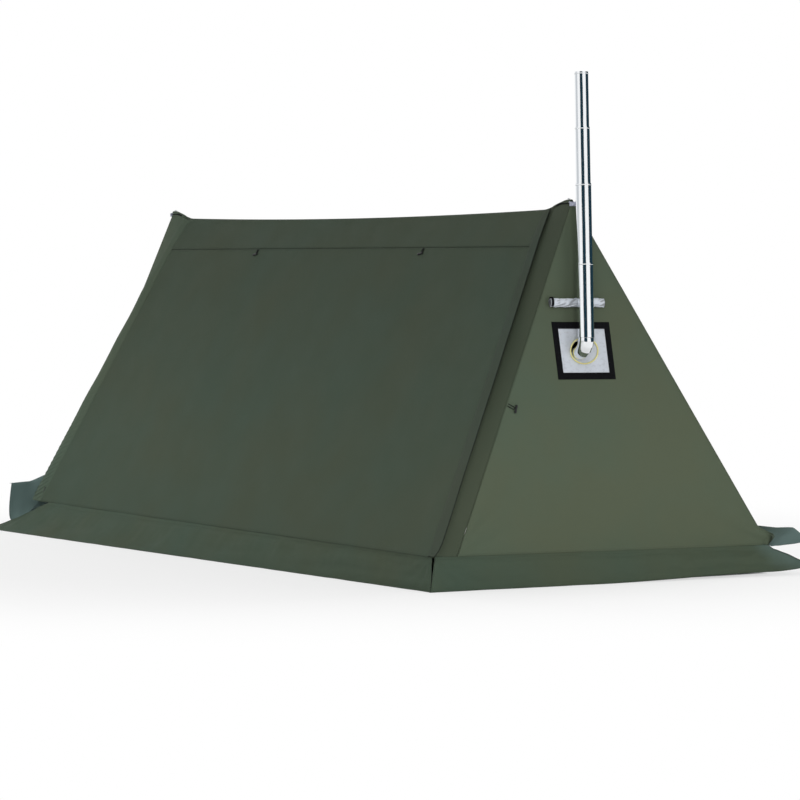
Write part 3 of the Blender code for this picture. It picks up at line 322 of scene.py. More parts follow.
def frontPoint(x, share):
    drop = ridgeDrop(x) * max(0.0, 1 - share / tent["headerShare"])
    high = lerp(tent["ridgeHeight"], tent["frontSeam"], share)
    return Vector((x, ridgeY - tent["frontDepth"] * share, high - drop))

def rearPoint(x, share):
    drop = ridgeDrop(x) * max(0.0, 1 - share / tent["rearFadeShare"])
    high = lerp(tent["ridgeHeight"], tent["rearSeam"], share)
    return Vector((x, ridgeY + tent["rearDepth"] * share, high - drop))

def edgeX(share):
    return lerp(tent["halfRidge"], tent["halfBase"], share)

def zipX(share):
    return lerp(tent["zipTop"], tent["zipBase"], share)

def stitchX(share):
    return lerp(tent["stitchTop"], tent["stitchBase"], share)

def apex(side):
    return Vector((side * tent["halfRidge"], ridgeY, tent["ridgeHeight"]))

def frontCorner(side):
    return Vector((side * tent["halfBase"], ridgeY - tent["frontDepth"], tent["frontSeam"]))

def rearCorner(side):
    return Vector((side * tent["halfBase"], ridgeY + tent["rearDepth"], tent["rearSeam"]))

def stripCorner(side):
    share = tent["stripSetback"] / (tent["frontDepth"] + tent["rearDepth"])
    return frontCorner(side).lerp(rearCorner(side), share)

frontSlope = Vector((0, -tent["frontDepth"], tent["frontSeam"] - tent["ridgeHeight"]))
rearSlope = Vector((0, tent["rearDepth"], tent["rearSeam"] - tent["ridgeHeight"]))
frontOut = frontSlope.cross(Vector((1, 0, 0))).normalized()
rearOut = rearSlope.cross(Vector((-1, 0, 0))).normalized()
frontLong, rearLong = frontSlope.length, rearSlope.length
headerLong = tent["headerShare"] * frontLong
panelLong = frontLong * (1 - tent["headerShare"])

def gableOut(side):
    across = rearCorner(side) - frontCorner(side)
    return ((frontCorner(side) - apex(side)).cross(across) * side).normalized()

def gablePlace(side, y, z, out=0.0):
    normal, start = gableOut(side), apex(side)
    x = start.x - (normal.y * (y - start.y) + normal.z * (z - start.z)) / normal.x
    return Vector((x, y, z)) + normal * out

# How sewn cloth hangs: broad swells, folds drawn one way, and puckers beside the seams

drapeLook = {"puckerSize": 0.045, "puckerRun": 0.05, "puckerEdge": 0.008, "rollWide": 0.007}

def waver(a, b, c):
    return noise.noise(Vector((a, b, c)))

def drape(a, d, edge, look):
    # the rise of the cloth at a along and d down it, edge away from its nearest seam
    seed, size = look["seed"], drapeLook["puckerSize"]
    swell = waver(a / look["swellSize"], d / look["swellSize"], seed) * look["swell"]
    c, s = math.cos(look["pull"]), math.sin(look["pull"])
    along, across = a * c + d * s, d * c - a * s
    fold = waver(along / look["foldLong"], across / look["foldWide"], seed + 7) * look["fold"]
    pucker = waver(a / size, d / size, seed + 3) * look["pucker"] * math.exp(-edge / drapeLook["puckerRun"])
    inner = (swell + fold - look["belly"]) * smooth(edge / look["edgeRun"])
    return inner + pucker * smooth(edge / drapeLook["puckerEdge"])

def seamRoll(edge, depth=0.0016):
    # the cloth turns in towards a seam
    return -depth * (1 - smooth(edge / drapeLook["rollWide"]))

def places(length, step, ends):
    # stations from 0 to length, close together beside both ends
    count = max(2, round((length - 2 * ends[-1]) / step))
    inner = [lerp(ends[-1], length - ends[-1], i / count) for i in range(count + 1)]
    near = [0.0, *ends[:-1]]
    return [v / length for v in near + inner + [length - v for v in reversed(near)]]

def evenly(count):
    return [i / count for i in range(count + 1)]

def placed(name, data):
    piece = bpy.data.objects.new(name, data)
    bpy.context.scene.collection.objects.link(piece)
    return piece

def meshOf(piece):
    # a plain mesh of the piece as its modifiers and curve settings leave it
    return bpy.data.meshes.new_from_object(piece.evaluated_get(bpy.context.evaluated_depsgraph_get()))

def dressed(piece, body, nodes=(), slot=None):
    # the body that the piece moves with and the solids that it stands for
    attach(piece, body)
    if nodes:
        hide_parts(*nodes)
    return piece

def marked(mesh, name, row, us, vs, rule):
    # a number on each point, by its place across and down the cloth
    layer = mesh.attributes.new(name, "FLOAT", "POINT")
    for index in range(len(mesh.vertices)):
        layer.data[index].value = rule(us[index % row], vs[index // row]) if rule else 0.0

def gridMesh(name, surface, us, vs, wide, high, facesTo, material, shades=None, coated=None):
    # a sheet of quads from surface(u, v), unrolled to wide by high metres in its UV map
    points = [surface(u, v) for v in vs for u in us]
    row = len(us)
    faces = []
    for j in range(len(vs) - 1):
        for i in range(row - 1):
            a = j * row + i
            faces.append((a, a + 1, a + row + 1, a + row))
    mesh = bpy.data.meshes.new(name)
    mesh.from_pydata(points, [], faces)
    mesh.update()
    uvs = mesh.uv_layers.new(name="UVMap")
    for loop in mesh.loops:
        u, v = us[loop.vertex_index % row], vs[loop.vertex_index // row]
        uvs.data[loop.index].uv = (u * wide, v * high)
    # painted shade on each point, and the share of the coated colour, which on the gable's pleat tip is a painted
    # highlight
    marked(mesh, "seamShade", row, us, vs, shades)
    marked(mesh, "coated", row, us, vs, coated)
    if sum((face.normal * face.area for face in mesh.polygons), Vector()).dot(facesTo) < 0:
        mesh.flip_normals()
    mesh.shade_smooth()
    mesh.materials.append(material)
    return placed(name, mesh)

def thicken(piece, thickness, lining=None, offset=-1.0, even=True):
    wall = piece.modifiers.new("wall", "SOLIDIFY")
    wall.thickness = thickness
    wall.offset = offset
    wall.use_even_offset = even
    if lining:
        piece.data.materials.append(lining)
        wall.material_offset = 1
    mesh = meshOf(piece)
    piece.modifiers.clear()
    piece.data = mesh
    return piece

seamShadeWide = 0.0045  # metres of cloth beside a seam that get painted shade
closeEnds = (0.002, 0.004, 0.007, 0.012)  # where the first stations beside an end lie

def seamLine(seams, a, b, wide, high):
    # seams gives a depth of painted shade for the sheet's left, right, top and bottom edges
    distances = (a, wide - a, b, high - b)
    return max(depth * (1 - smooth(distance / seamShadeWide)) for depth, distance in zip(seams, distances))

def clothSheet(name, surface, wide, high, facesTo, finish, body, nodes, seams, step=0.016,
               lining=None, area=None, slot="olive_front", vStep=None, hole=None, coated=None, ends=closeEnds,
               folds=None):
    us, vs = places(wide, step, ends), places(high, vStep or step, closeEnds)

    # painted shade along the sheet's edges from seams, and in its folds from folds
    def shades(u, v):
        line = seamLine(seams, u * wide, v * high, wide, high)
        return max(line, folds(u, v)) if folds else line

    piece = gridMesh(name, surface, us, vs, wide, high, facesTo, finishes[finish], shades, coated)
    if hole:
        hole(piece)
    thicken(piece, tent["wall"], finishes[lining] if lining else None)
    piece.data.shade_smooth()
    dressed(piece, body, nodes, slot)

# Walls

wallLook = {
    "panel": {"seed": 1.3, "swell": 0.0060, "swellSize": 0.55, "fold": 0.0022, "foldLong": 1.10, "foldWide": 0.16,
              "pull": 0.95, "pucker": 0.0012, "belly": 0.0040, "edgeRun": 0.22},
    "header": {"seed": 4.1, "swell": 0.0020, "swellSize": 0.30, "fold": 0.0012, "foldLong": 0.35, "foldWide": 0.07,
               "pull": 1.20, "pucker": 0.0012, "belly": 0.0, "edgeRun": 0.08},
    "rear": {"seed": 8.7, "swell": 0.0080, "swellSize": 0.60, "fold": 0.0040, "foldLong": 1.30, "foldWide": 0.18,
             "pull": 1.25, "pucker": 0.0014, "belly": 0.0060, "edgeRun": 0.25},
    "gable": {"seed": 2.9, "swell": 0.0045, "swellSize": 0.45, "fold": 0.0024, "foldLong": 0.80, "foldWide": 0.12,
              "pull": 1.35, "pucker": 0.0012, "belly": 0.0030, "edgeRun": 0.16, "roll": 0.0012},
    "strip": {"seed": 6.2, "swell": 0.0010, "swellSize": 0.20, "fold": 0.0012, "foldLong": 0.60, "foldWide": 0.05,
              "pull": 1.57, "pucker": 0.0006, "belly": 0.0, "edgeRun": 0.03, "roll": 0.0012},
}

def panelSurface(u, v):
    share = lerp(tent["headerShare"], 1, v)
    half = zipX(share) - tent["zipChannel"] / 2
    x = lerp(-half, half, u)
    top, base = (share - tent["headerShare"]) * frontLong, (1 - share) * frontLong
    edge = min(top, base, half - abs(x))
    rise = drape(x, share * frontLong, edge, wallLook["panel"]) + seamRoll(min(top, base))
    inset = tent["gap"] * (1 if v < 0.5 else -1) / frontLong * (v == 0 or v == 1)
    return frontPoint(x, share + inset) + frontOut * (tent["cloth"] + rise)

headerLook = {"turn": 0.010, "rise": 0.0016, "riseRun": 0.03}

def headerSurface(u, v):
    # laps over the ridge onto the rear wall
    down = lerp(-tent["lap"], headerLong - tent["gap"], v)
    turn = smooth(down / headerLook["turn"] * 0.5 + 0.5)
    out = rearOut.lerp(frontOut, turn).normalized()
    share = max(down, 0) / frontLong
    half = zipX(share) + tent["zipChannel"] / 2 - (tent["gap"] if down > 0 else 0)
    x = lerp(-half, half, u)
    place = frontPoint(x, share) if down >= 0 else rearPoint(x, -down / rearLong)
    edge = min(headerLong - down, max(down, 0.0), half - abs(x))
    rise = drape(x, down, edge, wallLook["header"]) + seamRoll(headerLong - down)
    lift = tent["cloth"] + headerLook["rise"] * (1 - smooth(down / headerLook["riseRun"]))
    return place + out * (lift + rise)

def rearSurface(u, v):
    share = lerp(tent["gap"] / rearLong, 1 - tent["gap"] / rearLong, v)
    half = edgeX(share) - tent["gap"]
    x = lerp(-half, half, u)
    top, base = share * rearLong, (1 - share) * rearLong
    rise = drape(x, top, min(top, base, half - abs(x)), wallLook["rear"]) + seamRoll(base)
    return rearPoint(x, share) + rearOut * (tent["cloth"] + rise)

def stripSurface(side):
    def surface(u, v):
        share = lerp(tent["gap"] / frontLong, 1 - tent["gap"] / frontLong, v)
        x = side * (zipX(share) + tent["zipChannel"] / 2)
        drop = max(0.0, 1 - share / tent["headerShare"])
        start = frontPoint(x, share)
        start.z += ridgeDrop(x) * drop
        end = apex(side).lerp(stripCorner(side), share)
        reach = (end - start).length
        trim = tent["gap"] / reach
        place = start.lerp(end, lerp(trim, 1 - trim, u))
        place.z -= ridgeDrop(place.x) * drop
        out = frontOut.lerp(gableOut(side), u * 0.5).normalized()
        edge = min(u, 1 - u) * reach
        rise = drape(u * reach, share * frontLong, edge, wallLook["strip"])
        rise += seamRoll((1 - u) * reach, wallLook["strip"]["roll"])
        return place + out * (tent["cloth"] + rise)
    return surface

pleat = {
    # the pleat that stands out at the rear corner of a gable, and its gathers
    "high": 0.163, "tall": 0.040, "run": 0.055, "long": 0.055, "out": 0.020,
    "foldAt": 0.021, "foldWide": 0.006, "fold": 0.007, "foldTop": 0.12,
    # its painted dark line and its painted light tip
    "lineWide": 0.0080, "lineAt": 0.004, "top": 0.200, "topRun": 0.02, "shade": 1.0,
    "tipShine": 0.35, "tipRun": 0.016,
    "ends": (0.004, 0.008, 0.012, 0.016, 0.020, 0.024, 0.028, 0.034, 0.042),
}
# folds that the pegs draw out of the front and rear corner, dying out up the wall
pegFolds = {"front": 0.0032, "rear": 0.0040, "perRadian": 15, "run": 0.30, "edge": 0.05, "flat": 0.02}

def gableSurface(side):
    def surface(u, v):
        share = lerp(tent["apexShare"], 1 - tent["gap"] / frontLong, v)
        front = apex(side).lerp(stripCorner(side), share)
        rear = apex(side).lerp(rearCorner(side), share)
        reach = (rear - front).length
        trim = tent["gap"] / reach
        place = front.lerp(rear, lerp(trim, 1 - trim, u))
        base = (1 - share) * frontLong
        inward = (1 - u) * reach
        edge = min(u * reach, inward, base)
        rise = drape(place.y, base, edge, wallLook["gable"])
        rise += seamRoll(min(u * reach, base), wallLook["gable"]["roll"])
        for corner, strength in ((stripCorner(side), pegFolds["front"]), (rearCorner(side), pegFolds["rear"])):
            away = place - corner
            wave = math.sin(math.atan2(away.z, abs(away.y) + pegFolds["flat"]) * pegFolds["perRadian"])
            rise += strength * wave * math.exp(-away.length / pegFolds["run"]) * smooth(edge / pegFolds["edge"])
        if side == right:
            rise *= smooth((Vector((place.y, place.z)) - jackMiddle).length / jack["flatRun"] - jack["flatShare"])
        tip = max(0.0, 1 - abs(place.z - pleat["high"]) / pleat["tall"]) * smooth(1 - inward / pleat["run"])
        gather = math.exp(-((inward - pleat["foldAt"]) / pleat["foldWide"]) ** 2)
        gather *= smooth(1 - (place.z - pleat["foldTop"]) / pleat["foldTop"])
        rise += pleat["out"] * tip - pleat["fold"] * gather
        return place + gableOut(side) * (tent["cloth"] + rise) + Vector((0, pleat["long"] * tip, 0))
    return surface

def pastPleat(side, place):
    return place.y - rearCorner(side).y - pleat["lineAt"]

def pleatShine(side):
    # painted highlight: the tip of the pleat catches the light, painted in the coated colour
    surface = gableSurface(side)
    return lambda u, v: pleat["tipShine"] * smooth(pastPleat(side, surface(u, v)) / pleat["tipRun"])

def pleatShade(side):
    # painted shade: the dark line of the fold beside the rear corner
    surface = gableSurface(side)

    def shades(u, v):
        place = surface(u, v)
        line = math.exp(-(pastPleat(side, place) / pleat["lineWide"]) ** 2)
        return pleat["shade"] * smooth((pleat["top"] - place.z) / pleat["topRun"]) * line
    return shades

# Stove jack on the right gable

jack = {
    "y": 0.036, "z": 0.974, "width": 0.288, "height": 0.240, "skew": 0.030, "border": 0.028,
    "borderThick": 0.0020, "patchThick": 0.0016, "holeWidth": 0.128, "holeHeight": 0.100,
    "rim": 0.0030, "rimSetback": 0.0045, "mouth": (-0.0255, 0.0025, 0.0765, 0.0750), "wobble": 0.0022,
    # the gable lies flat near it, and the window cut in the gable laps under its border
    "flatRun": 0.30, "flatShare": 0.55, "windowLap": 0.006,
}
jackMiddle = Vector((ridgeY + jack["y"], jack["z"]))

def jackFrame(along=0.0, high=0.0, out=0.0):
    # X rearwards along the right gable, Y up it, Z out of it
    z = gableOut(right)
    x = (rearCorner(right) - frontCorner(right)).normalized()
    y = z.cross(x)
    placing = Matrix((x, y, z)).transposed().to_4x4()
    placing.translation = gablePlace(right, ridgeY + jack["y"], jack["z"], tent["cloth"])
    return placing @ Matrix.Translation((along, high, out))

def jackCorners(inset):
    halfWidth, halfHeight = jack["width"] / 2 - inset, jack["height"] / 2 - inset
    lean = jack["skew"] / jack["height"]
    corners = ((-1, -1), (1, -1), (1, 1), (-1, 1))
    return [Vector((a * halfWidth - lean * b * halfHeight, b * halfHeight, 0)) for a, b in corners]

def cutJackWindow(piece):
    shape = bmesh.new()
    shape.from_mesh(piece.data)
    corners = [jackFrame() @ corner for corner in jackCorners(jack["border"] - jack["windowLap"])]
    sides = list(zip(corners, corners[1:] + corners[:1]))
    for first, last in sides:
        normal = (last - first).cross(gableOut(right)).normalized()
        bmesh.ops.bisect_plane(shape, geom=shape.verts[:] + shape.edges[:] + shape.faces[:],
                               plane_co=first, plane_no=normal, dist=0.00002)
    inside = []
    for face in shape.faces:
        middle = face.calc_center_median()
        if min((last - first).cross(middle - first).dot(gableOut(right)) for first, last in sides) > 0:
            inside.append(face)
    bmesh.ops.delete(shape, geom=inside, context="FACES")
    shape.to_mesh(piece.data)
    shape.free()

gableWide = tent["frontDepth"] + tent["rearDepth"] - tent["stripSetback"]
gableHigh = (stripCorner(right) - apex(right)).length
stripWide = 0.157  # at the ridge, where the strip is widest
stripArea = 0.190
wallWide = {"panel": 3.82, "header": 3.40, "rear": 3.82}

# each tuple gives painted shade along the sheet's left, right, top and bottom edges
clothSheet("awning_panel_cloth", panelSurface, wallWide["panel"], panelLong, frontOut, "front", "awning",
           ["awning_panel"], (0, 0, 0.45, 0.45), step=0.020)
clothSheet("header_cloth", headerSurface, wallWide["header"], headerLong + tent["lap"], frontOut, "front", "tent",
           ["header_band"], (0, 0, 0, 0.7), step=0.016, vStep=0.010)
clothSheet("rear_wall_cloth", rearSurface, wallWide["rear"], rearLong, rearOut, "front", "tent", ["rear_wall"],
           (0.4, 0.4, 0, 0.4), step=0.022)
for side, word in bothEnds:
    # the left strip takes the lighter band finish and the right strip the darker strip finish: painted light and
    # painted shade on one cloth
    clothSheet(f"side_strip_{word}_cloth", stripSurface(side), stripWide, frontLong, Vector((side, -1, 0)),
               "band" if side == left else "strip", "tent", [f"side_strip_{word}"], (0, 0.10, 0, 0.3),
               step=0.012, vStep=0.016, slot="olive_strip", area=stripArea)
    # the gable gets painted shade along the pleat's fold and a painted highlight on the pleat's tip
    clothSheet(f"gable_{word}_cloth", gableSurface(side), gableWide, gableHigh, Vector((side, 0, 0)), "gable",
               "tent", [f"gable_{word}"], (0.08, 0.2, 0, 0.35), step=0.014, slot="olive_gable",
               area=gableWide * gableHigh / 2, hole=cutJackWindow if side == right else None,
               ends=pleat["ends"], folds=pleatShade(side), coated=pleatShine(side))
print("walls made")

# Storm flaps: one strip each side from the ridge to the hem

flap = {
    "top": 0.066, "base": 0.092, "rise": 0.012, "hem": 0.0012, "crestShare": 0.35, "edgeShare": 0.75,
    "endShare": 0.05, "tuck": 0.045, "topSetback": 0.014, "ripple": 0.0035, "bend": 0.030,
    # edgeShade, stitchShade, wrinkleShade and hemShade are depths of painted shade
    "leftCrest": 0.72, "leftRise": 0.007, "leftTuck": 0.018, "edgeShade": 0.9, "stitchShade": 0.4, "stitchAt": 0.09,
    "wrinkle": 0.0022, "wrinkleRun": 0.26, "wrinkleSize": 0.0045, "wrinkleShade": 0.62,
    "edgeWide": 0.0075, "stitchWide": 0.004, "hemWide": 0.006, "hemShade": 0.35, "areaShare": 0.85,
    "ends": (0.001, 0.002, 0.004, 0.006),
}

def flapCurl(u, crest):
    if u < crest:
        return smooth(u / crest) if crest > 0.5 else math.sin(u / crest * math.pi / 2)
    return lerp(1, flap["edgeShare"], smooth((u - crest) / (1 - crest)))

def wrinkleFan(u, away):
    # wrinkles that fan out from the foot of the left flap
    wave = math.sin((away + u * 0.05) / flap["wrinkleSize"] + 2 * noise.noise(Vector((away * 9, u * 2, 0.7))))
    return wave * math.exp(-away / flap["wrinkleRun"]) * smooth(u * 3) * smooth(away / 0.03)

def flapSurface(side):
    crest = flap["crestShare"] if side == right else flap["leftCrest"]
    high = flap["rise"] if side == right else flap["leftRise"]
    pull = flap["tuck"] if side == right else flap["leftTuck"]

    def surface(u, v):
        share = lerp(flap["topSetback"] / frontLong, 1 - tent["gap"] / frontLong, v)
        width = lerp(flap["top"], flap["base"], share)
        toEnd = (1 - share) / flap["endShare"]
        tuck = pull * (1 - math.sqrt(1 - (1 - min(1.0, toEnd)) ** 2))
        rise = high * flapCurl(u, crest)
        away = (1 - share) * frontLong
        fan = wrinkleFan(u, away)
        rise += flap["wrinkle"] * max(fan, -0.4) * (1 if side == left else 0.25)
        ripple = noise.noise(Vector((share * 9, side * 4.0, 0.4))) * flap["ripple"] * smooth(u * 1.5)
        pucker = noise.noise(Vector((share * 52, u * 2, side * 9.0))) * 0.0011 * math.exp(-u * 4)
        place = frontPoint(side * (stitchX(share) + (width - tuck) * u + ripple * 0.8), share)
        hem = flap["hem"] * smooth(u / 0.10) + 0.0004
        return place + frontOut * (tent["cloth"] + hem + rise + max(ripple, -0.004) * u + pucker)
    return surface

def flapShade(side, wide, high):
    # painted shade: the shadow under the right flap's free edge, the dark stitch line, the left flap's wrinkles and
    # the hem
    def shades(u, v):
        edge = flap["edgeShade"] * (1 - smooth((1 - u) * wide / flap["edgeWide"] - 0.2)) if side == right else 0.0
        line = flap["stitchShade"] * max(0.0, 1 - abs(u - flap["stitchAt"]) * wide / flap["stitchWide"])
        line *= 1 if side == right else 0.3
        fold = flap["wrinkleShade"] * wrinkleFan(u, (1 - v) * high) if side == left else 0.0
        return max(edge, line, fold, flap["hemShade"] * (1 - smooth((1 - v) * high / flap["hemWide"])))
    return shades

def stormFlap(side, word):
    wide, high = flap["base"], frontLong - flap["topSetback"]
    us, vs = places(wide, 0.004, flap["ends"]), places(high, 0.004 if side == left else 0.010, closeEnds)
    # the right flap takes the darker flap finish and the left flap the lighter band finish: painted shade and
    # painted light on one cloth
    piece = gridMesh(f"storm_flap_{word}", flapSurface(side), us, vs, wide, high, frontOut,
                     finishes["flap" if side == right else "band"], flapShade(side, wide, high))
    thicken(piece, tent["wall"])
    piece.data.shade_smooth()
    fold = frontPoint(0, tent["headerShare"]) + frontOut * tent["cloth"]
    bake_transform(piece)
    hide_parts(f"flap_{word}", f"flap_head_{word}")

for side, word in bothEnds:
    stormFlap(side, word)
print("flaps made")

# Skirts, from the bottom seam to a hem that lies on the ground

skirt = {
    "foot": 0.014, "footShare": 0.8, "belly": 0.012, "fold": 0.010, "folds": 5, "endGap": 0.010, "reach": 0.19,
    "frontRight": 0.020, "frontLeft": 0.215, "frontTip": 0.040, "gableFront": 0.024, "gableRear": 0.120,
    "tipShare": 0.14, "liftShare": 0.45, "rearLift": 0.018, "rearTip": 0.155, "tipLift": 0.030, "tipRun": 0.07,
    # the two lifted ends: share of the run from the end, spread, reach past the end, height of the hem
    "leftWing": ((0.00, 0.175, 0.088, 0.225), (0.05, 0.170, 0.070, 0.230), (0.10, 0.105, 0.030, 0.285),
                 (0.135, 0.085, 0.012, 0.315), (0.20, 0.140, 0.000, 0.140), (0.28, 0.190, 0.000, 0.002)),
    "leftDip": (-0.062, -0.046, -0.140), "dipShare": 0.32,
    "rearWing": ((0.00, 0.165, 0.085, 0.140), (0.018, 0.155, 0.045, 0.190), (0.037, 0.135, 0.015, 0.184),
                 (0.075, 0.130, 0.000, 0.184), (0.13, 0.165, 0.000, 0.095), (0.20, 0.200, 0.000, 0.002)),
    # waves of the cloth: metres along it, waves down it, place in the noise, height
    "waves": ((0.13, 1.5, 0, 0.0065), (0.045, 2.5, 5, 0.0020), (0.55, 4.0, 12, 0.0055)),
    "gather": 0.003, "gatherSize": 0.07, "pinch": 0.0045, "pinchAt": 0.13, "pinchWide": 0.06, "roll": 0.0014,
    "fan": 0.0045, "fanRun": 0.16, "hem": 0.0015, "hemSize": 0.16, "cornerSag": 0.030, "sagRun": 0.13,
}

def fromEnd(u, share):
    return max(0.0, 1 - u / share) ** 2

def wingAt(rows, u):
    before = max((row for row in rows if row[0] <= u), key=lambda row: row[0])
    after = min((row for row in rows if row[0] > u), key=lambda row: row[0], default=before)
    run = after[0] - before[0]
    share = smooth((u - before[0]) / run) if run else 0
    return [lerp(a, b, share) for a, b in zip(before[1:], after[1:])]

def skirtSurface(seam, toe, long, seed, rise, dip=None):
    flatShare = skirt["footShare"]

    def surface(u, v):
        top, end = seam(u) + rise, toe(u)
        run = Vector((end.x - top.x, end.y - top.y, 0))
        heel = end - run * (skirt["foot"] / max(run.length, skirt["foot"] * 2))
        if v > flatShare:
            hem = waver(u * long / skirt["hemSize"], seed, 2.0) * skirt["hem"]
            along = (v - flatShare) / (1 - flatShare)
            return heel.lerp(end, along) + up * max(0.0, hem) * along
        share = v / flatShare
        place = top.lerp(heel, share)
        bulge = math.sin(share * math.pi)
        slack = bulge * min(1.0, run.length / skirt["reach"])
        place.z -= slack * (skirt["belly"] - skirt["fold"] * math.sin(u * math.tau * skirt["folds"]))
        if dip:
            place += dip(u) * bulge
        out = (end - top).cross(Vector((run.y, -run.x, 0)))
        out = (out if out.z > 0 else -out).normalized()
        waves = sum(waver(u * long / size, share * down, seed + shift) * height
                    for size, down, shift, height in skirt["waves"])
        waves += abs(waver(u * long / skirt["gatherSize"], 0.3, seed + 9)) * skirt["gather"] * (1 - share)
        for edge in (0, 1):
            away = abs(u - edge) * long
            fan = math.sin(math.atan2(share + 0.05, away / 0.2) * 16) * math.exp(-away / skirt["fanRun"])
            waves += fan * skirt["fan"]
        groove = skirt["pinch"] * math.exp(-((share - skirt["pinchAt"]) / skirt["pinchWide"]) ** 2)
        clear = smooth(share * 20)
        place += out * (waves * bulge - skirt["roll"] * (1 - clear) - groove * clear)
        place.z = max(place.z, tent["wall"] + 0.0004)
        return place
    return surface

def frontSeam(u):
    half = tent["halfBase"] - skirt["endGap"]
    sag = skirt["cornerSag"] * max(0.0, 1 - u * 2 * half / skirt["sagRun"])
    return Vector((lerp(-half, half, u), ridgeY - tent["frontDepth"], tent["frontSeam"] - tent["gap"] - sag))

def frontToe(u):
    half = tent["halfBase"] - skirt["endGap"]
    spread = lerp(skirt["frontLeft"], skirt["frontRight"], u)
    reach = skirt["frontRight"] * fromEnd(1 - u, skirt["tipShare"])
    reach -= (skirt["reach"] + skirt["endGap"]) * fromEnd(u, skirt["tipShare"])
    return Vector((lerp(-half, half, u) + reach, ridgeY - tent["frontDepth"] - spread, tent["cloth"]))

def rearSeam(u):
    half = tent["halfBase"] - skirt["endGap"]
    return Vector((lerp(-half, half, u), ridgeY + tent["rearDepth"], tent["rearSeam"] - tent["gap"]))

def rearToe(u):
    half = tent["halfBase"] - skirt["endGap"]
    spread, reach, height = wingAt(skirt["rearWing"], 1 - u)
    reach -= (skirt["reach"] + skirt["endGap"]) * fromEnd(u, skirt["tipShare"])
    return Vector((lerp(-half, half, u) + reach, ridgeY + tent["rearDepth"] + spread, height))

def gableSeam(side):
    first, last = frontCorner(side), rearCorner(side)
    trim = skirt["endGap"] / (last - first).length
    return lambda u: first.lerp(last, lerp(trim, 1 - trim, u)) - up * tent["gap"]

def gableToe(side):
    seam = gableSeam(side)

    def toeRight(u):
        spread = lerp(skirt["gableFront"], skirt["gableRear"], u)
        spread += (skirt["reach"] - skirt["gableRear"]) * fromEnd(1 - u, skirt["tipShare"])
        lift = skirt["rearLift"] * smooth((u - skirt["liftShare"]) / (1 - skirt["liftShare"]))
        lift += skirt["tipLift"] * fromEnd(1 - u, skirt["tipRun"])
        tip = skirt["rearTip"] * fromEnd(1 - u, skirt["tipShare"])
        tip -= skirt["frontTip"] * fromEnd(u, skirt["tipShare"])
        return Vector((side * (tent["halfBase"] + spread), seam(u).y + tip, tent["cloth"] + lift))

    def toeLeft(u):
        spread, reach, height = wingAt(skirt["leftWing"], u)
        tip = skirt["rearTip"] * fromEnd(1 - u, skirt["tipShare"]) - reach
        return Vector((side * (tent["halfBase"] + spread), seam(u).y + tip, height))

    return toeRight if side == right else toeLeft

def leftDip(u):
    return Vector(skirt["leftDip"]) * fromEnd(u, skirt["dipShare"])

def coatedFrom(end, run, strength=1.0):
    # towards a lifted end the coated side of the cloth shows
    return lambda u, v: strength * (1 - smooth(abs(u - end) / run))

tuck = 0.006  # how far a skirt reaches up behind the wall it is sewn to
gableLean = 0.0545
skirts = {
    "front_skirt": {
        "seam": frontSeam, "toe": frontToe, "flat": (4.0, 0.20), "facesTo": Vector((0, -1, 1)), "body": "awning",
        "seed": 1.1, "rise": frontSlope.normalized() * -tuck},
    "rear_skirt": {
        "seam": rearSeam, "toe": rearToe, "flat": (4.0, 0.22), "facesTo": Vector((0, 1, 1)), "body": "tent",
        "seed": 3.1, "rise": rearSlope.normalized() * -tuck, "coated": coatedFrom(1, 0.085)},
    "gable_skirt_right": {
        "seam": gableSeam(right), "toe": gableToe(right), "flat": (1.8, 0.16), "facesTo": Vector((1, 0, 1)),
        "body": "tent", "seed": 5.1, "rise": Vector((-gableLean, 0, 1)) * tuck, "endShade": 1.0,
        "coated": coatedFrom(1, 0.06, 0.45)},
    "gable_skirt_left": {
        "seam": gableSeam(left), "toe": gableToe(left), "flat": (1.8, 0.24), "facesTo": Vector((-1, 0, 1)),
        "body": "tent", "seed": 7.1, "rise": Vector((gableLean, 0, 1)) * tuck, "dip": leftDip,
        "coated": coatedFrom(0, 0.55)},
}
for name, look in skirts.items():
    long, wide = look["flat"]
    surface = skirtSurface(look["seam"], look["toe"], long, look["seed"], look["rise"], look.get("dip"))
    # the tuple gives painted shade along the skirt's edges, darkest at the right gable skirt's end
    clothSheet(f"{name}_cloth", surface, long, wide, look["facesTo"], "skirt", look["body"], [name],
               (0.3, look.get("endShade", 0.3), 0.5, 0.35), step=0.012, vStep=0.006, lining="lining",
               slot="olive_skirt", area=long * wide, coated=look.get("coated"))
print("skirts made")

# Turned pieces: pipes, tubes and toggles

def turnedPiece(name, profile, placing, sides, material, body, nodes, slot=None):
    # profile is (radius, height) down the outer side, closed unless it starts and ends on the axis
    ring = [profile[-1]] + list(profile) if profile[0][0] > 0 else list(profile)
    lengths = [0.0]
    for (r0, z0), (r1, z1) in zip(ring, ring[1:]):
        lengths.append(lengths[-1] + math.hypot(r1 - r0, z1 - z0))
    points, faces, uvs = [], [], []
    for r, z in ring:
        for i in range(sides + 1):
            turn = math.tau * i / sides
            points.append(placing @ Vector((r * math.cos(turn), r * math.sin(turn), z)))
    row = sides + 1
    widest = max(r for r, z in ring)
    for j in range(len(ring) - 1):
        for i in range(sides):
            a = j * row + i
            faces.append((a, a + 1, a + row + 1, a + row))
            for di, dj in ((0, 0), (1, 0), (1, 1), (0, 1)):
                uvs.append((math.tau * widest * (i + di) / sides, lengths[j + dj]))
    mesh = bpy.data.meshes.new(name)
    mesh.from_pydata(points, [], faces)
    layer = mesh.uv_layers.new(name="UVMap")
    for loop, uv in zip(layer.data, uvs):
        loop.uv = uv
    finishTurned(mesh)
    mesh.materials.append(material)
    return dressed(placed(name, mesh), body, nodes, slot)

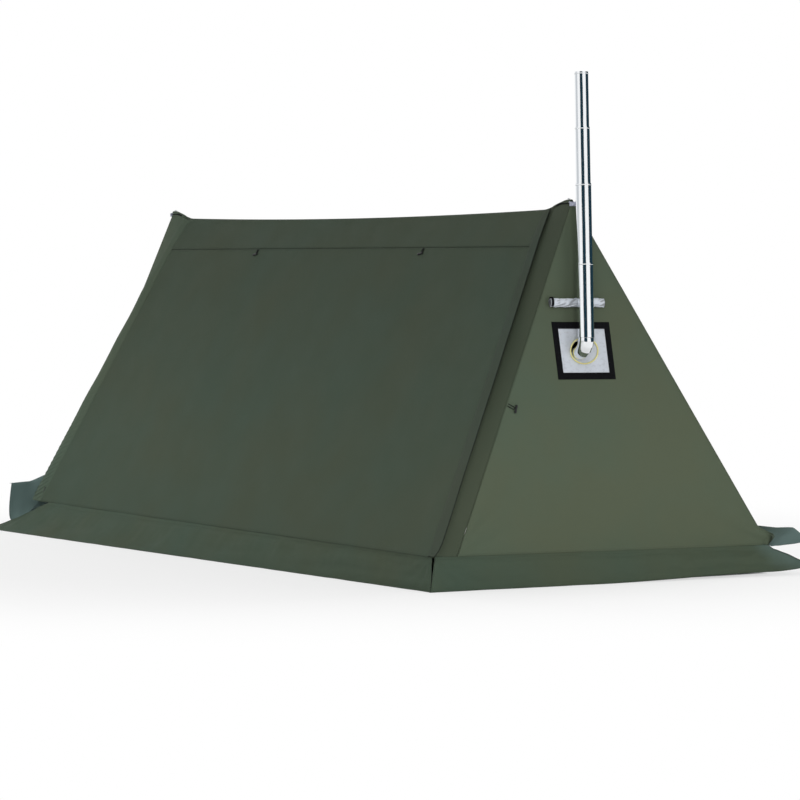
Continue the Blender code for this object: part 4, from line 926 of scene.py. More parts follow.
def finishTurned(mesh):
    shape = bmesh.new()
    shape.from_mesh(mesh)
    bmesh.ops.remove_doubles(shape, verts=shape.verts, dist=0.00001)
    bmesh.ops.dissolve_degenerate(shape, edges=shape.edges, dist=0.000001)
    bmesh.ops.recalc_face_normals(shape, faces=shape.faces)
    shape.to_mesh(mesh)
    shape.free()
    mesh.shade_smooth()
    mesh.set_sharp_from_angle(angle=math.radians(40))

def frameOf(origin, xAxis, zAxis):
    z = zAxis.normalized()
    y = z.cross(xAxis).normalized()
    x = y.cross(z)
    placing = Matrix((x, y, z)).transposed().to_4x4()
    placing.translation = origin
    return placing

# Flue: an elbow through the jack and four pipes, each sliding in the one below

flue = {
    "offset": -0.028, "wall": 0.0010, "radius": 0.0350, "step": 0.0020, "lip": 0.010, "lap": 0.060,
    "elbow": 0.0333, "bend": 0.052, "inside": 0.070, "socket": 0.028, "seat": 0.006, "standoff": 0.010,
    "riser": 0.318, "second": 0.332, "third": 0.236, "top": 0.230, "bead": 0.0012, "beadRun": 0.004,
    "sides": 72, "gores": 5,
}

def flueAxis():
    # straight up the pipes from the elbow, at the height that the riser's box gives
    low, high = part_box("flue_riser")
    elbow = jackFrame(flue["offset"], 0, 0)
    centre = elbow @ Vector((0, 0, flue["standoff"] + flue["bend"]))
    axis = frameOf(centre, elbow.col[0].xyz, elbow.col[1].xyz)
    foot = axis @ Vector((0, 0, flue["bend"] + flue["seat"]))
    spread = flue["radius"] * math.hypot(axis.col[0].z, axis.col[1].z)
    return Matrix.Translation(axis.col[2].xyz * ((low.z + spread - foot.z) / axis.col[2].z)) @ axis

fluePlace = flueAxis()

def fluePipe(name, radius, bottom, top, sliding, nested, body):
    inner = radius - flue["wall"]
    flare = flue["step"] - flue["wall"] - tent["gap"]
    run, lip = flue["beadRun"], flue["lip"]
    profile = [(radius, top), (radius, top - run)]
    for step in range(7):
        turn = math.pi * step / 6
        profile.append((radius + flue["bead"] * math.sin(turn), top - run * 1.25 - run * step / 6))
    profile.append((radius, top - run * 3))
    if sliding:
        profile += [(radius, bottom + lip * 2), (radius + flare, bottom + lip), (radius + flare, bottom),
                    (inner + flare, bottom), (inner + flare, bottom + lip), (inner, bottom + lip * 2)]
    else:
        profile += [(radius, bottom), (inner, bottom)]
    if nested:
        rim = radius - flue["step"] + tent["gap"]
        profile += [(inner, top - lip * 2), (rim, top - lip), (rim, top)]
    else:
        profile.append((inner, top))
    turnedPiece(f"{name}_pipe", profile, fluePlace, flue["sides"], finishes["flue"], body, [name], "flue_steel")

def makePipes():
    top = flue["bend"] + flue["riser"]
    radius = flue["radius"]
    fluePipe("flue_riser", radius, flue["bend"] + flue["seat"], top, False, True, "tent")
    for word in ("second", "third", "top"):
        radius -= flue["step"]
        name = f"flue_{word}"
        fluePipe(name, radius, top - flue["lap"], top + flue[word], True, word != "top", f"{name}_body")
        top += flue[word]

makePipes()

# The elbow follows a rule, an arc in flat gores, so a geometry tree sweeps it

def openGroup(name, sockets):
    group = bpy.data.node_groups.new(name, "GeometryNodeTree")
    for key, kind in {"Geometry": "Geometry", **sockets, "Finish": "Material"}.items():
        group.interface.new_socket(key, in_out="INPUT", socket_type=f"NodeSocket{kind}")
    group.interface.new_socket("Geometry", in_out="OUTPUT", socket_type="NodeSocketGeometry")
    tree = Tree(group)
    given = group.nodes.new("NodeGroupInput")
    return tree, {socket.name: Link(tree, socket) for socket in given.outputs if socket.name}

def closeGroup(tree, made, read):
    softened = tree.add("GeometryNodeSetShadeSmooth", values={"Geometry": made})
    real = tree.add("GeometryNodeRealizeInstances", values={"Geometry": softened})
    painted = tree.add("GeometryNodeSetMaterial", values={"Geometry": real, "Material": read["Finish"]})
    last = tree.nodeTree.nodes.new("NodeGroupOutput")
    tree.join(last.inputs["Geometry"], painted)
    return tree.nodeTree

def elbowTree():
    tree, read = openGroup("gorePipe", {"Radius": "Float", "Sides": "Int"})
    values = {"Resolution": read["Sides"], "Radius": read["Radius"]}
    circle = tree.add("GeometryNodeCurvePrimitiveCircle", values=values)
    skin = tree.add("GeometryNodeCurveToMesh", values={"Curve": read["Geometry"], "Profile Curve": circle})
    return closeGroup(tree, skin, read)

def socketNames(group):
    return {item.name: item.identifier for item in group.interface.items_tree if item.in_out == "INPUT"}

def curveOf(name, rows, cyclic=False):
    drawn = bpy.data.curves.new(name, "CURVE")
    drawn.dimensions = "3D"
    for points in rows:
        spline = drawn.splines.new("POLY")
        spline.points.add(len(points) - 1)
        for point, place in zip(spline.points, points):
            point.co = (*place, 1)
        spline.use_cyclic_u = cyclic
    return placed(name, drawn)

def grown(name, source, group, inputs, body, nodes=(), slot=None):
    # runs the tree on the source and keeps a plain mesh of what it makes
    modifier = source.modifiers.new("grow", "NODES")
    modifier.node_group = group
    known = socketNames(group)
    for key, value in inputs.items():
        modifier[known[key]] = value
    source.update_tag()
    bpy.context.view_layer.update()
    mesh = meshOf(source)
    mesh.name = name
    bpy.data.objects.remove(source)
    return dressed(placed(name, mesh), body, nodes, slot)

def makeElbow():
    axis = fluePlace.col[2].xyz
    out = gableOut(right)
    corner = fluePlace.translation - out * (flue["standoff"] + flue["bend"])
    points = [corner - out * flue["inside"], corner + out * flue["standoff"]]
    for gore in range(flue["gores"]):
        turn = (gore + 1 / 2) / flue["gores"] * math.pi / 2
        points.append(corner + axis * flue["bend"] * (1 - math.cos(turn)) +
                      out * (flue["standoff"] + flue["bend"] * math.sin(turn)))
    points.append(fluePlace @ Vector((0, 0, flue["bend"] + flue["socket"])))
    piece = grown("flue_elbow_pipe", curveOf("elbowLine", [points]), elbowTree(),
                  {"Radius": flue["elbow"], "Sides": flue["sides"], "Finish": finishes["flue"]},
                  "tent", ["flue_elbow"], "flue_steel")
    piece.data.set_sharp_from_angle(angle=math.radians(12))
    thicken(piece, flue["wall"], even=False)

makeElbow()
print("flue made")

# The jack: a black frame, a silver patch with its hole, and the stitched rim

def flatPiece(name, outlines, placing, thickness, material, nodes, slot, bevel=0.0004):
    drawn = bpy.data.curves.new(name, "CURVE")
    drawn.dimensions = "2D"
    drawn.fill_mode = "BOTH"
    drawn.extrude = thickness / 2 - bevel
    drawn.bevel_depth = bevel
    drawn.bevel_resolution = 1
    for outline in outlines:
        spline = drawn.splines.new("POLY")
        spline.points.add(len(outline) - 1)
        for point, place in zip(spline.points, outline):
            point.co = (place[0], place[1], 0, 1)
        spline.use_cyclic_u = True
    source = placed(name, drawn)
    bpy.context.view_layer.update()
    mesh = meshOf(source)
    bpy.data.objects.remove(source)
    uvs = mesh.uv_layers.active or mesh.uv_layers.new(name="UVMap")
    for loop in mesh.loops:
        place = mesh.vertices[loop.vertex_index].co
        uvs.data[loop.index].uv = (place.x, place.y)
    mesh.transform(placing)
    finishTurned(mesh)
    mesh.materials.clear()
    mesh.materials.append(material)
    return dressed(placed(name, mesh), "tent", nodes, slot)

def oval(width, height, count):
    turns = [math.tau * i / count for i in range(count)]
    return [Vector((width / 2 * math.cos(t), height / 2 * math.sin(t), 0)) for t in turns]

def roundTube(name, points, radius, material, body, nodes, slot, cyclic=False, resolution=5):
    source = curveOf(name, [points], cyclic)
    source.data.bevel_depth = radius
    source.data.bevel_resolution = resolution
    source.data.use_fill_caps = not cyclic
    bpy.context.view_layer.update()
    mesh = meshOf(source)
    bpy.data.objects.remove(source)
    finishTurned(mesh)
    if not mesh.uv_layers:
        mesh.uv_layers.new(name="UVMap")
    mesh.materials.clear()
    mesh.materials.append(material)
    return dressed(placed(name, mesh), body, nodes, slot)

def makeJack():
    along, high, wide, tall = jack["mouth"]
    hole = []
    for index, point in enumerate(oval(wide, tall, 72)):
        worn = 1 + noise.noise(Vector((index * 0.31, 2.0, 5.0))) * jack["wobble"] / point.length
        hole.append(point * worn + Vector((along, high, 0)))
    border = jackFrame(out=tent["gap"] + jack["borderThick"] / 2)
    flatPiece("jack_border_webbing", [jackCorners(0), jackCorners(jack["border"])], border, jack["borderThick"],
              finishes["webbing"], ["jack_border"], "black_webbing")
    patch = jackFrame(out=tent["gap"] + jack["patchThick"] / 2)
    cloth = flatPiece("jack_patch_cloth", [jackCorners(jack["border"] + tent["gap"]), hole], patch,
                      jack["patchThick"], finishes["silver"], ["jack_patch"], "silver_cloth")
    rim = jackFrame(out=tent["gap"] * 2 + jack["patchThick"] + jack["rim"])
    ring = oval(jack["holeWidth"] + jack["rimSetback"] * 2, jack["holeHeight"] + jack["rimSetback"] * 2, 96)
    roundTube("jack_rim_cord", [rim @ p for p in ring], jack["rim"], finishes["rim"], "tent", ["jack_rim"],
              "rim_thread", cyclic=True)

makeJack()

# The jack's cover, rolled up above it and tied

roll = {
    "rise": 0.203, "offset": -0.038, "length": 0.272, "radius": 0.0185, "core": 0.0040, "flatShare": 0.56,
    "turns": 2.6, "cloth": 0.0016, "seed": 12.0, "crumple": 0.0058,
    "slant": 0.045,  # metres along the roll to a radian of twist in its folds
    "tieWidth": 0.012, "tieThick": 0.0015, "tieCloth": 0.0012, "tieRise": 0.0022, "tieLong": 0.12,
    "tieInset": 0.010, "rearTieShare": 0.16,
}

def rollCrease(turn, z):
    # how near a place lies to a fold of the crumpled cloth, nought on its crest
    slant = turn + z / roll["slant"]
    return abs(noise.noise(Vector((z / 0.050, math.cos(slant) * 1.3, math.sin(slant) * 1.3 + roll["seed"]))))

def rollPoint(share, z):
    # a place on the wound cloth: share of the way out from its core, z along the roll
    turn = math.tau * roll["turns"] * share
    radius = lerp(roll["core"], roll["radius"], share)
    crease = 0.35 - rollCrease(turn, z) * 1.9
    fine = noise.noise(Vector((z / 0.013, math.cos(turn) * 2, math.sin(turn) * 2 + roll["seed"] + 4)))
    radius += (crease * roll["crumple"] + fine * roll["crumple"] * 0.4) * share
    bow = 0.0025 * math.sin(z / roll["length"] * math.pi * 2 + 0.6)
    return Vector((radius * math.cos(turn) + bow, radius * math.sin(turn) * roll["flatShare"], z))

def makeRoll():
    out = tent["gap"] + (roll["tieThick"] + tent["gap"] + roll["radius"]) * roll["flatShare"] + 0.001
    middle = jackFrame(roll["offset"], roll["rise"], out)
    placing = frameOf(middle.translation, middle.col[1].xyz, middle.col[0].xyz)
    wide = math.tau * roll["turns"] * (roll["core"] + roll["radius"]) / 2
    half = roll["length"] / 2

    def surface(u, v):
        return placing @ rollPoint(u, lerp(-half, half, v))

    def shades(u, v):
        # painted shade: dark in the valleys of the folds, at both open ends and on the inner turns
        valley = smooth(rollCrease(math.tau * roll["turns"] * u, lerp(-half, half, v)) * 3.2 - 0.55) * 0.55
        mouth = 1 - smooth(min(v, 1 - v) * roll["length"] / 0.004)
        return max(valley, mouth * 0.9, 0.9 * (1 - smooth(u * 2.2 - 0.9)))

    piece = gridMesh("jack_cover_roll_cloth", surface, evenly(110), evenly(130), wide, roll["length"],
                     Vector((1, 0, 0)), finishes["foil"], shades)
    thicken(piece, roll["cloth"], offset=0.0)
    piece.data.shade_smooth()
    dressed(piece, "tent", ["jack_cover_roll"], "silver_cloth")
    for z, word in ((roll["tieInset"] - half, "front"), (roll["length"] * roll["rearTieShare"], "rear")):

        def band(u, v):
            turn = math.tau * u
            radius = roll["radius"] + roll["tieRise"]
            level = z + (v - 0.5) * roll["tieWidth"]
            return placing @ Vector((radius * math.cos(turn), radius * math.sin(turn) * roll["flatShare"], level))

        tie = gridMesh(f"cover_tie_{word}_webbing", band, evenly(64), evenly(4), roll["tieLong"], roll["tieWidth"],
                       Vector((1, 0, 0)), finishes["webbing"])
        thicken(tie, roll["tieCloth"], offset=0.0)
        finishTurned(tie.data)
        dressed(tie, "tent", [f"jack_cover_tie_{word}"], "black_webbing")

makeRoll()
print("jack made")

# Toggles on their cord loops

toggle = {
    "length": 0.034, "radius": 0.0050, "waist": 0.0036, "end": 0.0040, "cord": 0.0016, "slack": 0.0008,
    "headerX": (-0.742, 0.812), "headerLoop": 0.029, "headerTilt": 14.0, "gableShare": 0.578,
    "gableReach": 0.038, "gableDrop": 0.018, "half": 0.005, "setIn": 0.005, "lean": 0.25, "endShare": 0.7,
}

def makeToggle(word, seam, run, lie, out, body):
    start = seam + out * (tent["cloth"] + tent["gap"] + toggle["cord"])
    end = seam + run + out * (tent["cloth"] + tent["gap"] + toggle["radius"])
    placing = frameOf(start, end - start, out)
    reach = (end - start).length - toggle["waist"] - toggle["cord"] - toggle["slack"] - toggle["half"]
    points = [Vector((0, -toggle["half"], 0))]
    for step in range(19):
        turn = math.pi * (step / 18 - 1 / 2)
        points.append(Vector((reach + toggle["half"] * math.cos(turn), toggle["half"] * math.sin(turn), 0)))
    points.append(Vector((0, toggle["half"], 0)))
    roundTube(f"{word}_loop_cord", [placing @ p for p in points], toggle["cord"], finishes["blackCord"], body,
              [f"{word}_loop"], "black_webbing", resolution=3)
    half, big = toggle["length"] / 2, toggle["radius"]
    profile = [(0, half), (big * toggle["endShare"], half)]
    for step in range(5):
        turn = step / 4 * math.pi / 2
        radius = big * lerp(toggle["endShare"], 1, math.sin(turn))
        profile.append((radius, half - toggle["end"] * (1 - math.cos(turn))))
    for step in range(1, 8):
        share = step / 8
        profile.append((lerp(big, toggle["waist"], smooth(share)), lerp(half - toggle["end"] * 1.6, 0, share)))
    profile += [(toggle["waist"], 0)] + [(r, -z) for r, z in reversed(profile)]
    lie = lie - out * lie.dot(out)
    turnedPiece(f"{word}_toggle_bar", profile, frameOf(end, out, lie), 28, finishes["plastic"], body,
                [f"{word}_toggle"], "black_plastic")

def makeToggles():
    down = frontSlope.normalized()
    for x, word in zip(toggle["headerX"], ("left", "right")):
        tilt = math.radians(toggle["headerTilt"])
        lie = Vector((math.cos(tilt), 0, 0)) - down * math.sin(tilt)
        seam = frontPoint(x, tent["headerShare"]) + down * toggle["setIn"]
        run = (down * math.cos(tilt) - Vector((math.sin(tilt), 0, 0))) * toggle["headerLoop"]
        makeToggle(f"header_{word}", seam, run, lie, frontOut, f"header_toggle_{word}")
    out = gableOut(right)
    along = (rearCorner(right) - frontCorner(right)).normalized()
    down = along.cross(out).normalized()
    seam = apex(right).lerp(stripCorner(right), toggle["gableShare"]) + along * toggle["setIn"]
    run = along * toggle["gableReach"] + down * toggle["gableDrop"]
    makeToggle("gable_right", seam, run, along * toggle["lean"] - down, out, "gable_toggle")

makeToggles()
print("toggles made")

# Caps folded over the ridge ends, the strap inside the ridge and its end tabs

cap = {
    "length": 0.1375, "frontLeg": 0.0115, "rearLeg": 0.030, "bend": 0.008, "lift": 0.0042,
    "pole": 1.825, "raise": 0.0062, "raiseRun": 0.060,
    "cordFrom": 0.0105, "cordWide": 0.0060, "cordLong": 0.125, "cordLift": 0.0046,
    "tabWide": 0.031,
    "tabRun": ((1.836, 1.5950), (1.846, 1.5990), (1.8535, 1.5985), (1.8565, 1.5930), (1.8560, 1.5800)),
    "strapHalf": 0.016, "strapInset": 0.0014,
}

def acrossRidge(x, down, lift, bend):
    # a place on cloth folded over the ridge: down is metres from the ridge, to the front where negative
    if abs(down) >= bend:
        if down < 0:
            return frontPoint(x, -down / frontLong) + frontOut * lift
        return rearPoint(x, down / rearLong) + rearOut * lift
    first, last = acrossRidge(x, -bend, lift, bend), acrossRidge(x, bend, lift, bend)
    middle = (frontOut + rearOut).normalized() * lift / math.cos(frontOut.angle(rearOut) / 2) + frontPoint(x, 0)
    share = (down / bend + 1) / 2
    return first * (1 - share) ** 2 + middle * 2 * share * (1 - share) + last * share ** 2

def capSurface(side):
    def surface(u, v):
        x = lerp(tent["halfRidge"] - cap["length"], tent["halfRidge"] - tent["gap"], u)
        down = lerp(-cap["frontLeg"], cap["rearLeg"], v)
        raised = cap["raise"] * smooth(1 - (cap["pole"] - x) / cap["raiseRun"]) * max(0.0, 1 - (down / 0.011) ** 2)
        return acrossRidge(side * x, down, cap["lift"], cap["bend"]) + up * raised
    return surface

def capCord(side):
    def surface(u, v):
        x = side * lerp(tent["halfRidge"] - cap["cordLong"], tent["halfRidge"] - 0.004, u)
        along = cap["cordFrom"] + cap["cordWide"] * (v - 0.5) * smooth(u * 6) * lerp(1.25, 0.8, u)
        return acrossRidge(x, -along, cap["cordLift"] - 0.0016 * (1 - smooth(u * 5)), cap["bend"])
    return surface

def strapSurface(u, v):
    half = tent["halfRidge"] - 4 * tent["gap"]
    down = lerp(-cap["strapHalf"], cap["strapHalf"], v)
    return acrossRidge(lerp(-half, half, u), down, -cap["strapInset"], 0.004)

def tabSurface(side):
    rows = cap["tabRun"]

    def surface(u, v):
        at = v * (len(rows) - 1)
        i = min(int(at), len(rows) - 2)
        x, z = (lerp(a, b, at - i) for a, b in zip(rows[i], rows[i + 1]))
        return Vector((side * x, ridgeY + (u - 0.5) * cap["tabWide"] * lerp(0.55, 1, smooth(v * 1.6)), z))
    return surface

def trim(name, surface, wide, high, facesTo, finish, counts, thickness, nodes=(), slot="black_webbing",
         body="tent"):
    us, vs = map(evenly, counts)
    piece = gridMesh(name, surface, us, vs, wide, high, facesTo, finishes[finish])
    thicken(piece, thickness)
    return dressed(piece, body, nodes, slot)

trim("ridge_strap", strapSurface, tent["halfRidge"] * 2, cap["strapHalf"] * 2, up, "webbing", (140, 8), 0.0015,
     ["ridge_webbing"])
for side, word in bothEnds:
    wide = cap["frontLeg"] + cap["rearLeg"]
    # the right cap takes the darker strip finish and the left cap the lighter band finish: painted shade and
    # painted light on one cloth
    capPiece = trim(f"ridge_cap_{word}_cloth", capSurface(side), cap["length"], wide, up,
                    "strip" if side == right else "band", (24, 32), 0.0014, [f"ridge_cap_{word}"], "olive_strip")
    trim(f"cap_{word}_edge_cord", capCord(side), cap["cordLong"], cap["cordWide"], frontOut, "webbing", (40, 3),
         0.0012)
    trim(f"ridge_end_tab_{word}", tabSurface(side), cap["tabWide"], 0.03, Vector((side, 0, 0.3)), "tab", (8, 16),
         0.0014)
print("ridge ends made")

# Zip tapes, one sewn to the strip and one to the awning on each side

tape = {"from": 0.0010, "to": 0.0121, "thick": 0.0008, "end": 0.006, "lift": 0.0004, "long": 1.4}

def tapeSurface(side, sewn):
    def surface(u, v):
        share = lerp(tent["headerShare"] + tape["end"] / frontLong, 1 - tape["end"] / frontLong, v)
        x = zipX(share) + sewn * lerp(tape["from"], tape["to"], u)
        return frontPoint(side * x, share) + frontOut * (tape["lift"] + tape["thick"])
    return surface

for side, word in bothEnds:
    for sewn, body, part in ((1, "tent", "fixed"), (-1, "awning", "awning")):
        trim(f"zip_tape_{word}_{part}_cloth", tapeSurface(side, sewn), tape["to"] - tape["from"], tape["long"],
             frontOut, "zipTape", (6, 90), tape["thick"], [f"zip_tape_{word}_{part}"], body=body)
print("zip tapes made")

# Stitches and zip teeth, set along their lines by geometry trees

stitch = {
    "pitch": 0.0058, "long": 0.0042, "thread": 0.0008, "row": 0.004, "nextRow": 0.010, "lift": 0.0001,
    "toothPitch": 0.0030, "tooth": (0.0017, 0.0030, 0.0016), "toothLift": 0.0024, "toothAside": 0.0016,
    "rearWide": 3.8,
    "jack": {"Pitch": 0.0045, "Length": 0.0033, "Thread": 0.0009},
}

def rowTree(name, sockets, bead, facing=False):
    # a bead at every pitch along the curves, turned to run with them
    tree, read = openGroup(name, {"Pitch": "Float", **sockets})
    row = tree.add("GeometryNodeResampleCurve", {"mode": "LENGTH"},
                   {"Curve": read["Geometry"], "Length": read["Pitch"]})
    align = "FunctionNodeAlignRotationToVector"
    turn = tree.add(align, {"axis": "X"}, {"Vector": tree.add("GeometryNodeInputTangent")})
    if facing:
        turn = tree.add(align, {"axis": "Z", "pivot_axis": "X"}, {"Rotation": turn, "Vector": read["Facing"]})
    values = {"Points": row, "Instance": bead(tree, read), "Rotation": turn}
    return closeGroup(tree, tree.add("GeometryNodeInstanceOnPoints", values=values), read)

def threadBead(tree, read):
    ball = tree.add("GeometryNodeMeshUVSphere", values={"Segments": 5, "Rings": 3, "Radius": 0.5})
    size = tree.add("ShaderNodeCombineXYZ", values={0: read["Length"], 1: read["Thread"], 2: read["Thread"]})
    return tree.add("GeometryNodeTransform", values={"Geometry": ball, "Scale": size})

def stitchTree():
    return rowTree("stitchRow", {"Length": "Float", "Thread": "Float"}, threadBead)

def toothBlock(tree, read):
    return tree.add("GeometryNodeMeshCube", values={"Size": read["Size"]})

def toothTree():
    return rowTree("zipTeeth", {"Size": "Vector", "Facing": "Vector"}, toothBlock, True)

def rowAcross(surface, v, out, count=160, first=0.004, last=0.996):
    return [surface(lerp(first, last, i / count), v) + out * stitch["lift"] for i in range(count + 1)]

def rowDown(surface, u, out, count=90, first=0.004, last=0.996):
    return [surface(u, lerp(first, last, i / count)) + out * stitch["lift"] for i in range(count + 1)]

def gableRow(side, distance, fromRear):
    rows = []
    for i in range(91):
        v = lerp(0.04, 0.996, i / 90)
        share = lerp(tent["apexShare"], 1, v)
        reach = (apex(side).lerp(rearCorner(side), share) - apex(side).lerp(stripCorner(side), share)).length
        u = distance / reach
        rows.append(gableSurface(side)(1 - u if fromRear else u, v) + gableOut(side) * stitch["lift"])
    return rows

def makeStitches():
    near, far = stitch["row"], stitch["nextRow"]
    seamV = (tent["headerShare"] - flap["topSetback"] / frontLong) / (1 - flap["topSetback"] / frontLong)
    walls, awning, skirtRows, rearRows = [], [], [], []
    for distance in (near, far):
        walls.append(rowAcross(headerSurface, 1 - distance / (headerLong + tent["lap"]), frontOut))
        awning.append(rowAcross(panelSurface, distance / panelLong, frontOut))
        awning.append(rowAcross(panelSurface, 1 - distance / panelLong, frontOut))
        rearRows.append(rowAcross(rearSurface, 1 - distance / rearLong, rearOut))
        rearRows.append(rowDown(rearSurface, distance / stitch["rearWide"], rearOut))
        rearRows.append(rowDown(rearSurface, 1 - distance / stitch["rearWide"], rearOut))
    for side in (left, right):
        for u in (0.045, 0.12, 0.95):
            walls.append(rowDown(flapSurface(side), u, frontOut, 12, 0.01, seamV - 0.01))
            awning.append(rowDown(flapSurface(side), u, frontOut, 90, seamV + 0.01, 0.98))
        walls.append(rowDown(stripSurface(side), 0.96, frontOut))
        walls.append(gableRow(side, near, False))
        for distance in (near, far):
            rearRows.append(gableRow(side, distance, True))
            walls.append(rowAcross(gableSurface(side), 1 - distance / gableHigh, gableOut(side)))
        for v in (0.15, 0.85):
            walls.append(rowAcross(capSurface(side), v, up, 20, 0.06, 0.96))
    for look in skirts.values():
        seam = look["seam"]
        long = (seam(1) - seam(0)).length * 1.05
        surface = skirtSurface(seam, look["toe"], long, look["seed"], look["rise"], look.get("dip"))
        rows = awning if look["body"] == "awning" else skirtRows
        rows += [rowAcross(surface, v, up * 1.5) for v in (0.075, 0.965)]
    sizes = {"Pitch": stitch["pitch"], "Length": stitch["long"], "Thread": stitch["thread"]}
    for name, body, rows in (("wall", "tent", walls), ("awning", "awning", awning), ("skirt", "tent", skirtRows),
                             ("rear", "tent", rearRows)):
        grown(f"{name}_stitches", curveOf("stitchLines", rows), stitchTree(),
              {**sizes, "Finish": finishes["seamThread"]}, body, slot="olive_front")
    edges = []
    for inward in (near, jack["border"] - near):
        corners = [jackFrame(out=tent["gap"] + jack["borderThick"]) @ corner for corner in jackCorners(inward)]
        edges.append(corners + corners[:1])
    grown("jack_stitches", curveOf("jackLines", edges), stitchTree(),
          {**stitch["jack"], "Finish": finishes["blackCord"]}, "tent", slot="black_webbing")

def makeTeeth():
    for side, word in bothEnds:
        for sewn, body, part in ((1, "tent", "fixed"), (-1, "awning", "awning")):
            row = []
            for i in range(61):
                share = lerp(tent["headerShare"] + 0.005, 0.995, i / 60)
                x = side * (zipX(share) + sewn * stitch["toothAside"])
                row.append(frontPoint(x, share) + frontOut * stitch["toothLift"])
            grown(f"zip_teeth_{word}_{part}", curveOf("zipLine", [row]), toothTree(),
                  {"Pitch": stitch["toothPitch"], "Size": stitch["tooth"], "Facing": tuple(frontOut),
                   "Finish": finishes["plastic"]}, body, slot="black_plastic")

makeStitches()
makeTeeth()
print("stitches and teeth made")

# CAD pieces that keep their shape

for name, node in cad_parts.items():
    if node.hide_render:
        continue
    kind = "webbing"
    if name.startswith(("pole_hub", "cap_grommet")):
        kind = "zinc"
    elif name.startswith("pole") and name.endswith("foot"):
        kind = "rubber"
    elif name.startswith("pole"):
        kind = "pole"
    elif name.startswith(("zip_slider", "zip_pull")):
        kind = "plastic"
    node.data.materials.clear()
    node.data.materials.append(finishes[kind])
    print("kept", name, kind)

# Camera, light and floor

view = {
    "place": (13.7668, -7.9852, 1.3367), "turn": 59.4411, "down": 2.2875, "lens": 153.0, "sensor": 36.0,
}
lights = {
    "sky": 0.36, "aim": 0.5,
    "key": {"place": (8.6, -4.0, 4.2), "size": 6.0, "power": 450.0},
    "side": {"place": (6.0, 2.5, 0.9), "size": 2.5, "power": 60.0},
    "fill": {"place": (-2.5, -5.5, 0.9), "size": 2.5, "power": 118.0},
    "back": {"place": (-0.5, 9.0, 4.0), "size": 6.0, "power": 480.0},
    "end": {"place": (-9.0, 0.5, 3.5), "size": 5.0, "power": 380.0},
}
cards = {
    # dark and grey boards that only the metal sees, as degrees round the flue from the camera
    "distance": 9.0, "low": -3.0, "high": 9.0, "tint": (0.014, 0.036, 0.052), "grey": (0.62, 0.64, 0.66),
    "bands": ((-26.6, 20.7, "tint"), (76.6, 178.0, "tint"), (-118.0, -71.0, "grey")),
}

def makeCamera():
    made = bpy.data.cameras.new("photoCamera")
    made.lens = view["lens"]
    made.sensor_width = view["sensor"]
    made.clip_end = 200
    piece = placed("photoCamera", made)
    piece.location = view["place"]
    piece.rotation_euler = (math.radians(90 - view["down"]), 0, math.radians(view["turn"]))
    bpy.context.scene.camera = piece

def makeLights():
    for name in ("key", "side", "fill", "back", "end"):
        made = bpy.data.lights.new(name, "AREA")
        made.size = lights[name]["size"]
        made.energy = lights[name]["power"]
        piece = placed(name, made)
        piece.location = lights[name]["place"]
        piece.rotation_euler = (Vector((0, 0, lights["aim"])) - piece.location).to_track_quat("-Z", "Y").to_euler()
        piece.visible_glossy = False
    world = bpy.data.worlds.new("studio")
    bpy.context.scene.world = world
    world.use_nodes = True
    tree = Tree(world.node_tree)
    path = world.node_tree.nodes.new("ShaderNodeLightPath")
    seen = Link(tree, path.outputs["Is Camera Ray"]) + Link(tree, path.outputs["Is Glossy Ray"])
    seen = (seen + Link(tree, path.outputs["Is Transmission Ray"])).sum("MINIMUM", 1.0)
    ground = world.node_tree.nodes["Background"]
    ground.inputs["Color"].default_value = (1, 1, 1, 1)
    tree.join(ground.inputs["Strength"], seen * (1 - lights["sky"]) + lights["sky"])

floorLook = {"reach": 60.0, "glow": 0.60, "glowRun": (1.9, 4.2), "tone": 0.93}

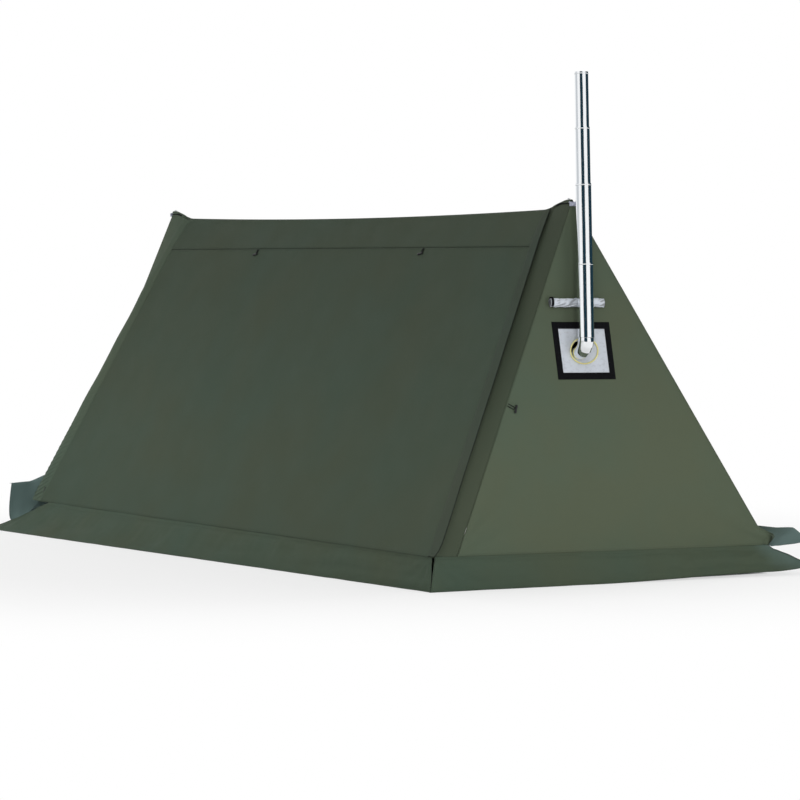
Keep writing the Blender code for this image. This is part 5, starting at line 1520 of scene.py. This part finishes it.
def makeFloor():
    mesh = bpy.data.meshes.new("floor")
    reach = floorLook["reach"]
    mesh.from_pydata([(-reach, -reach, -groundGap), (reach, -reach, -groundGap), (reach, reach, -groundGap),
                      (-reach, reach, -groundGap)], [], [(0, 1, 2, 3)])
    floor = placed("floor", mesh)
    paint = Paint("paleFloor", 0.9)
    paint.shader.inputs["Base Color"].default_value = (floorLook["tone"],) * 3 + (1,)
    glow = paint.add("ShaderNodeEmission", values={"Color": (1, 1, 1, 1), "Strength": 1.0})
    place = paint.object()
    far = paint.add("ShaderNodeVectorMath", {"operation": "LENGTH"}, {0: place}, output="Value")
    edge = paint.between(far, *floorLook["glowRun"])
    halves = (tent["halfBase"], (tent["frontDepth"] + tent["rearDepth"]) / 2)
    across, along = (part.sum("ABSOLUTE", 0.0) / half for part, half in zip(paint.parts(place), halves))
    # no glow under the tent, so the gaps between its skirts are dark
    outside = across.sum("MAXIMUM", along).sum("GREATER_THAN", 1.0)
    edge = outside * (edge * (1 - floorLook["glow"]) + floorLook["glow"])
    path = paint.nodeTree.nodes.new("ShaderNodeLightPath")
    seen = Link(paint, path.outputs["Is Camera Ray"])
    mixed = paint.add("ShaderNodeMixShader", values={0: edge * seen})
    node = mixed.socket.node
    paint.nodeTree.links.new(paint.shader.outputs[0], node.inputs[1])
    paint.nodeTree.links.new(glow.socket, node.inputs[2])
    paint.nodeTree.links.new(mixed.socket, paint.nodeTree.nodes["Material Output"].inputs[0])
    mesh.materials.append(paint.material)

def makeCards():
    foot = fluePlace.translation
    toCamera = Vector(view["place"]) - foot
    toCamera = Vector((toCamera.x, toCamera.y, 0)).normalized()
    aside = Vector((-toCamera.y, toCamera.x, 0))
    for index, (first, last, tone) in enumerate(cards["bands"]):
        steps = max(2, round((last - first) / 4))
        points, faces = [], []
        for i in range(steps + 1):
            turn = math.radians(lerp(first, last, i / steps))
            way = (toCamera * math.cos(turn) + aside * math.sin(turn)) * cards["distance"]
            points += [(foot.x + way.x, foot.y + way.y, cards[level]) for level in ("low", "high")]
        for i in range(steps):
            faces.append((i * 2, i * 2 + 2, i * 2 + 3, i * 2 + 1))
        mesh = bpy.data.meshes.new(f"card{index}")
        mesh.from_pydata(points, [], faces)
        board = placed(f"card{index}", mesh)
        paint = Paint(f"cardPaint{index}", 1.0)
        glow = paint.add("ShaderNodeEmission", values={"Color": (*cards[tone], 1), "Strength": 1.0})
        paint.join(paint.nodeTree.nodes["Material Output"].inputs["Surface"], glow)
        mesh.materials.append(paint.material)
        board.visible_camera = board.visible_diffuse = board.visible_shadow = False
        board.visible_transmission = board.visible_volume_scatter = False

makeCamera()
makeLights()
makeFloor()
makeCards()
bpy.context.scene.view_settings.view_transform = "Standard"
print("stage made")
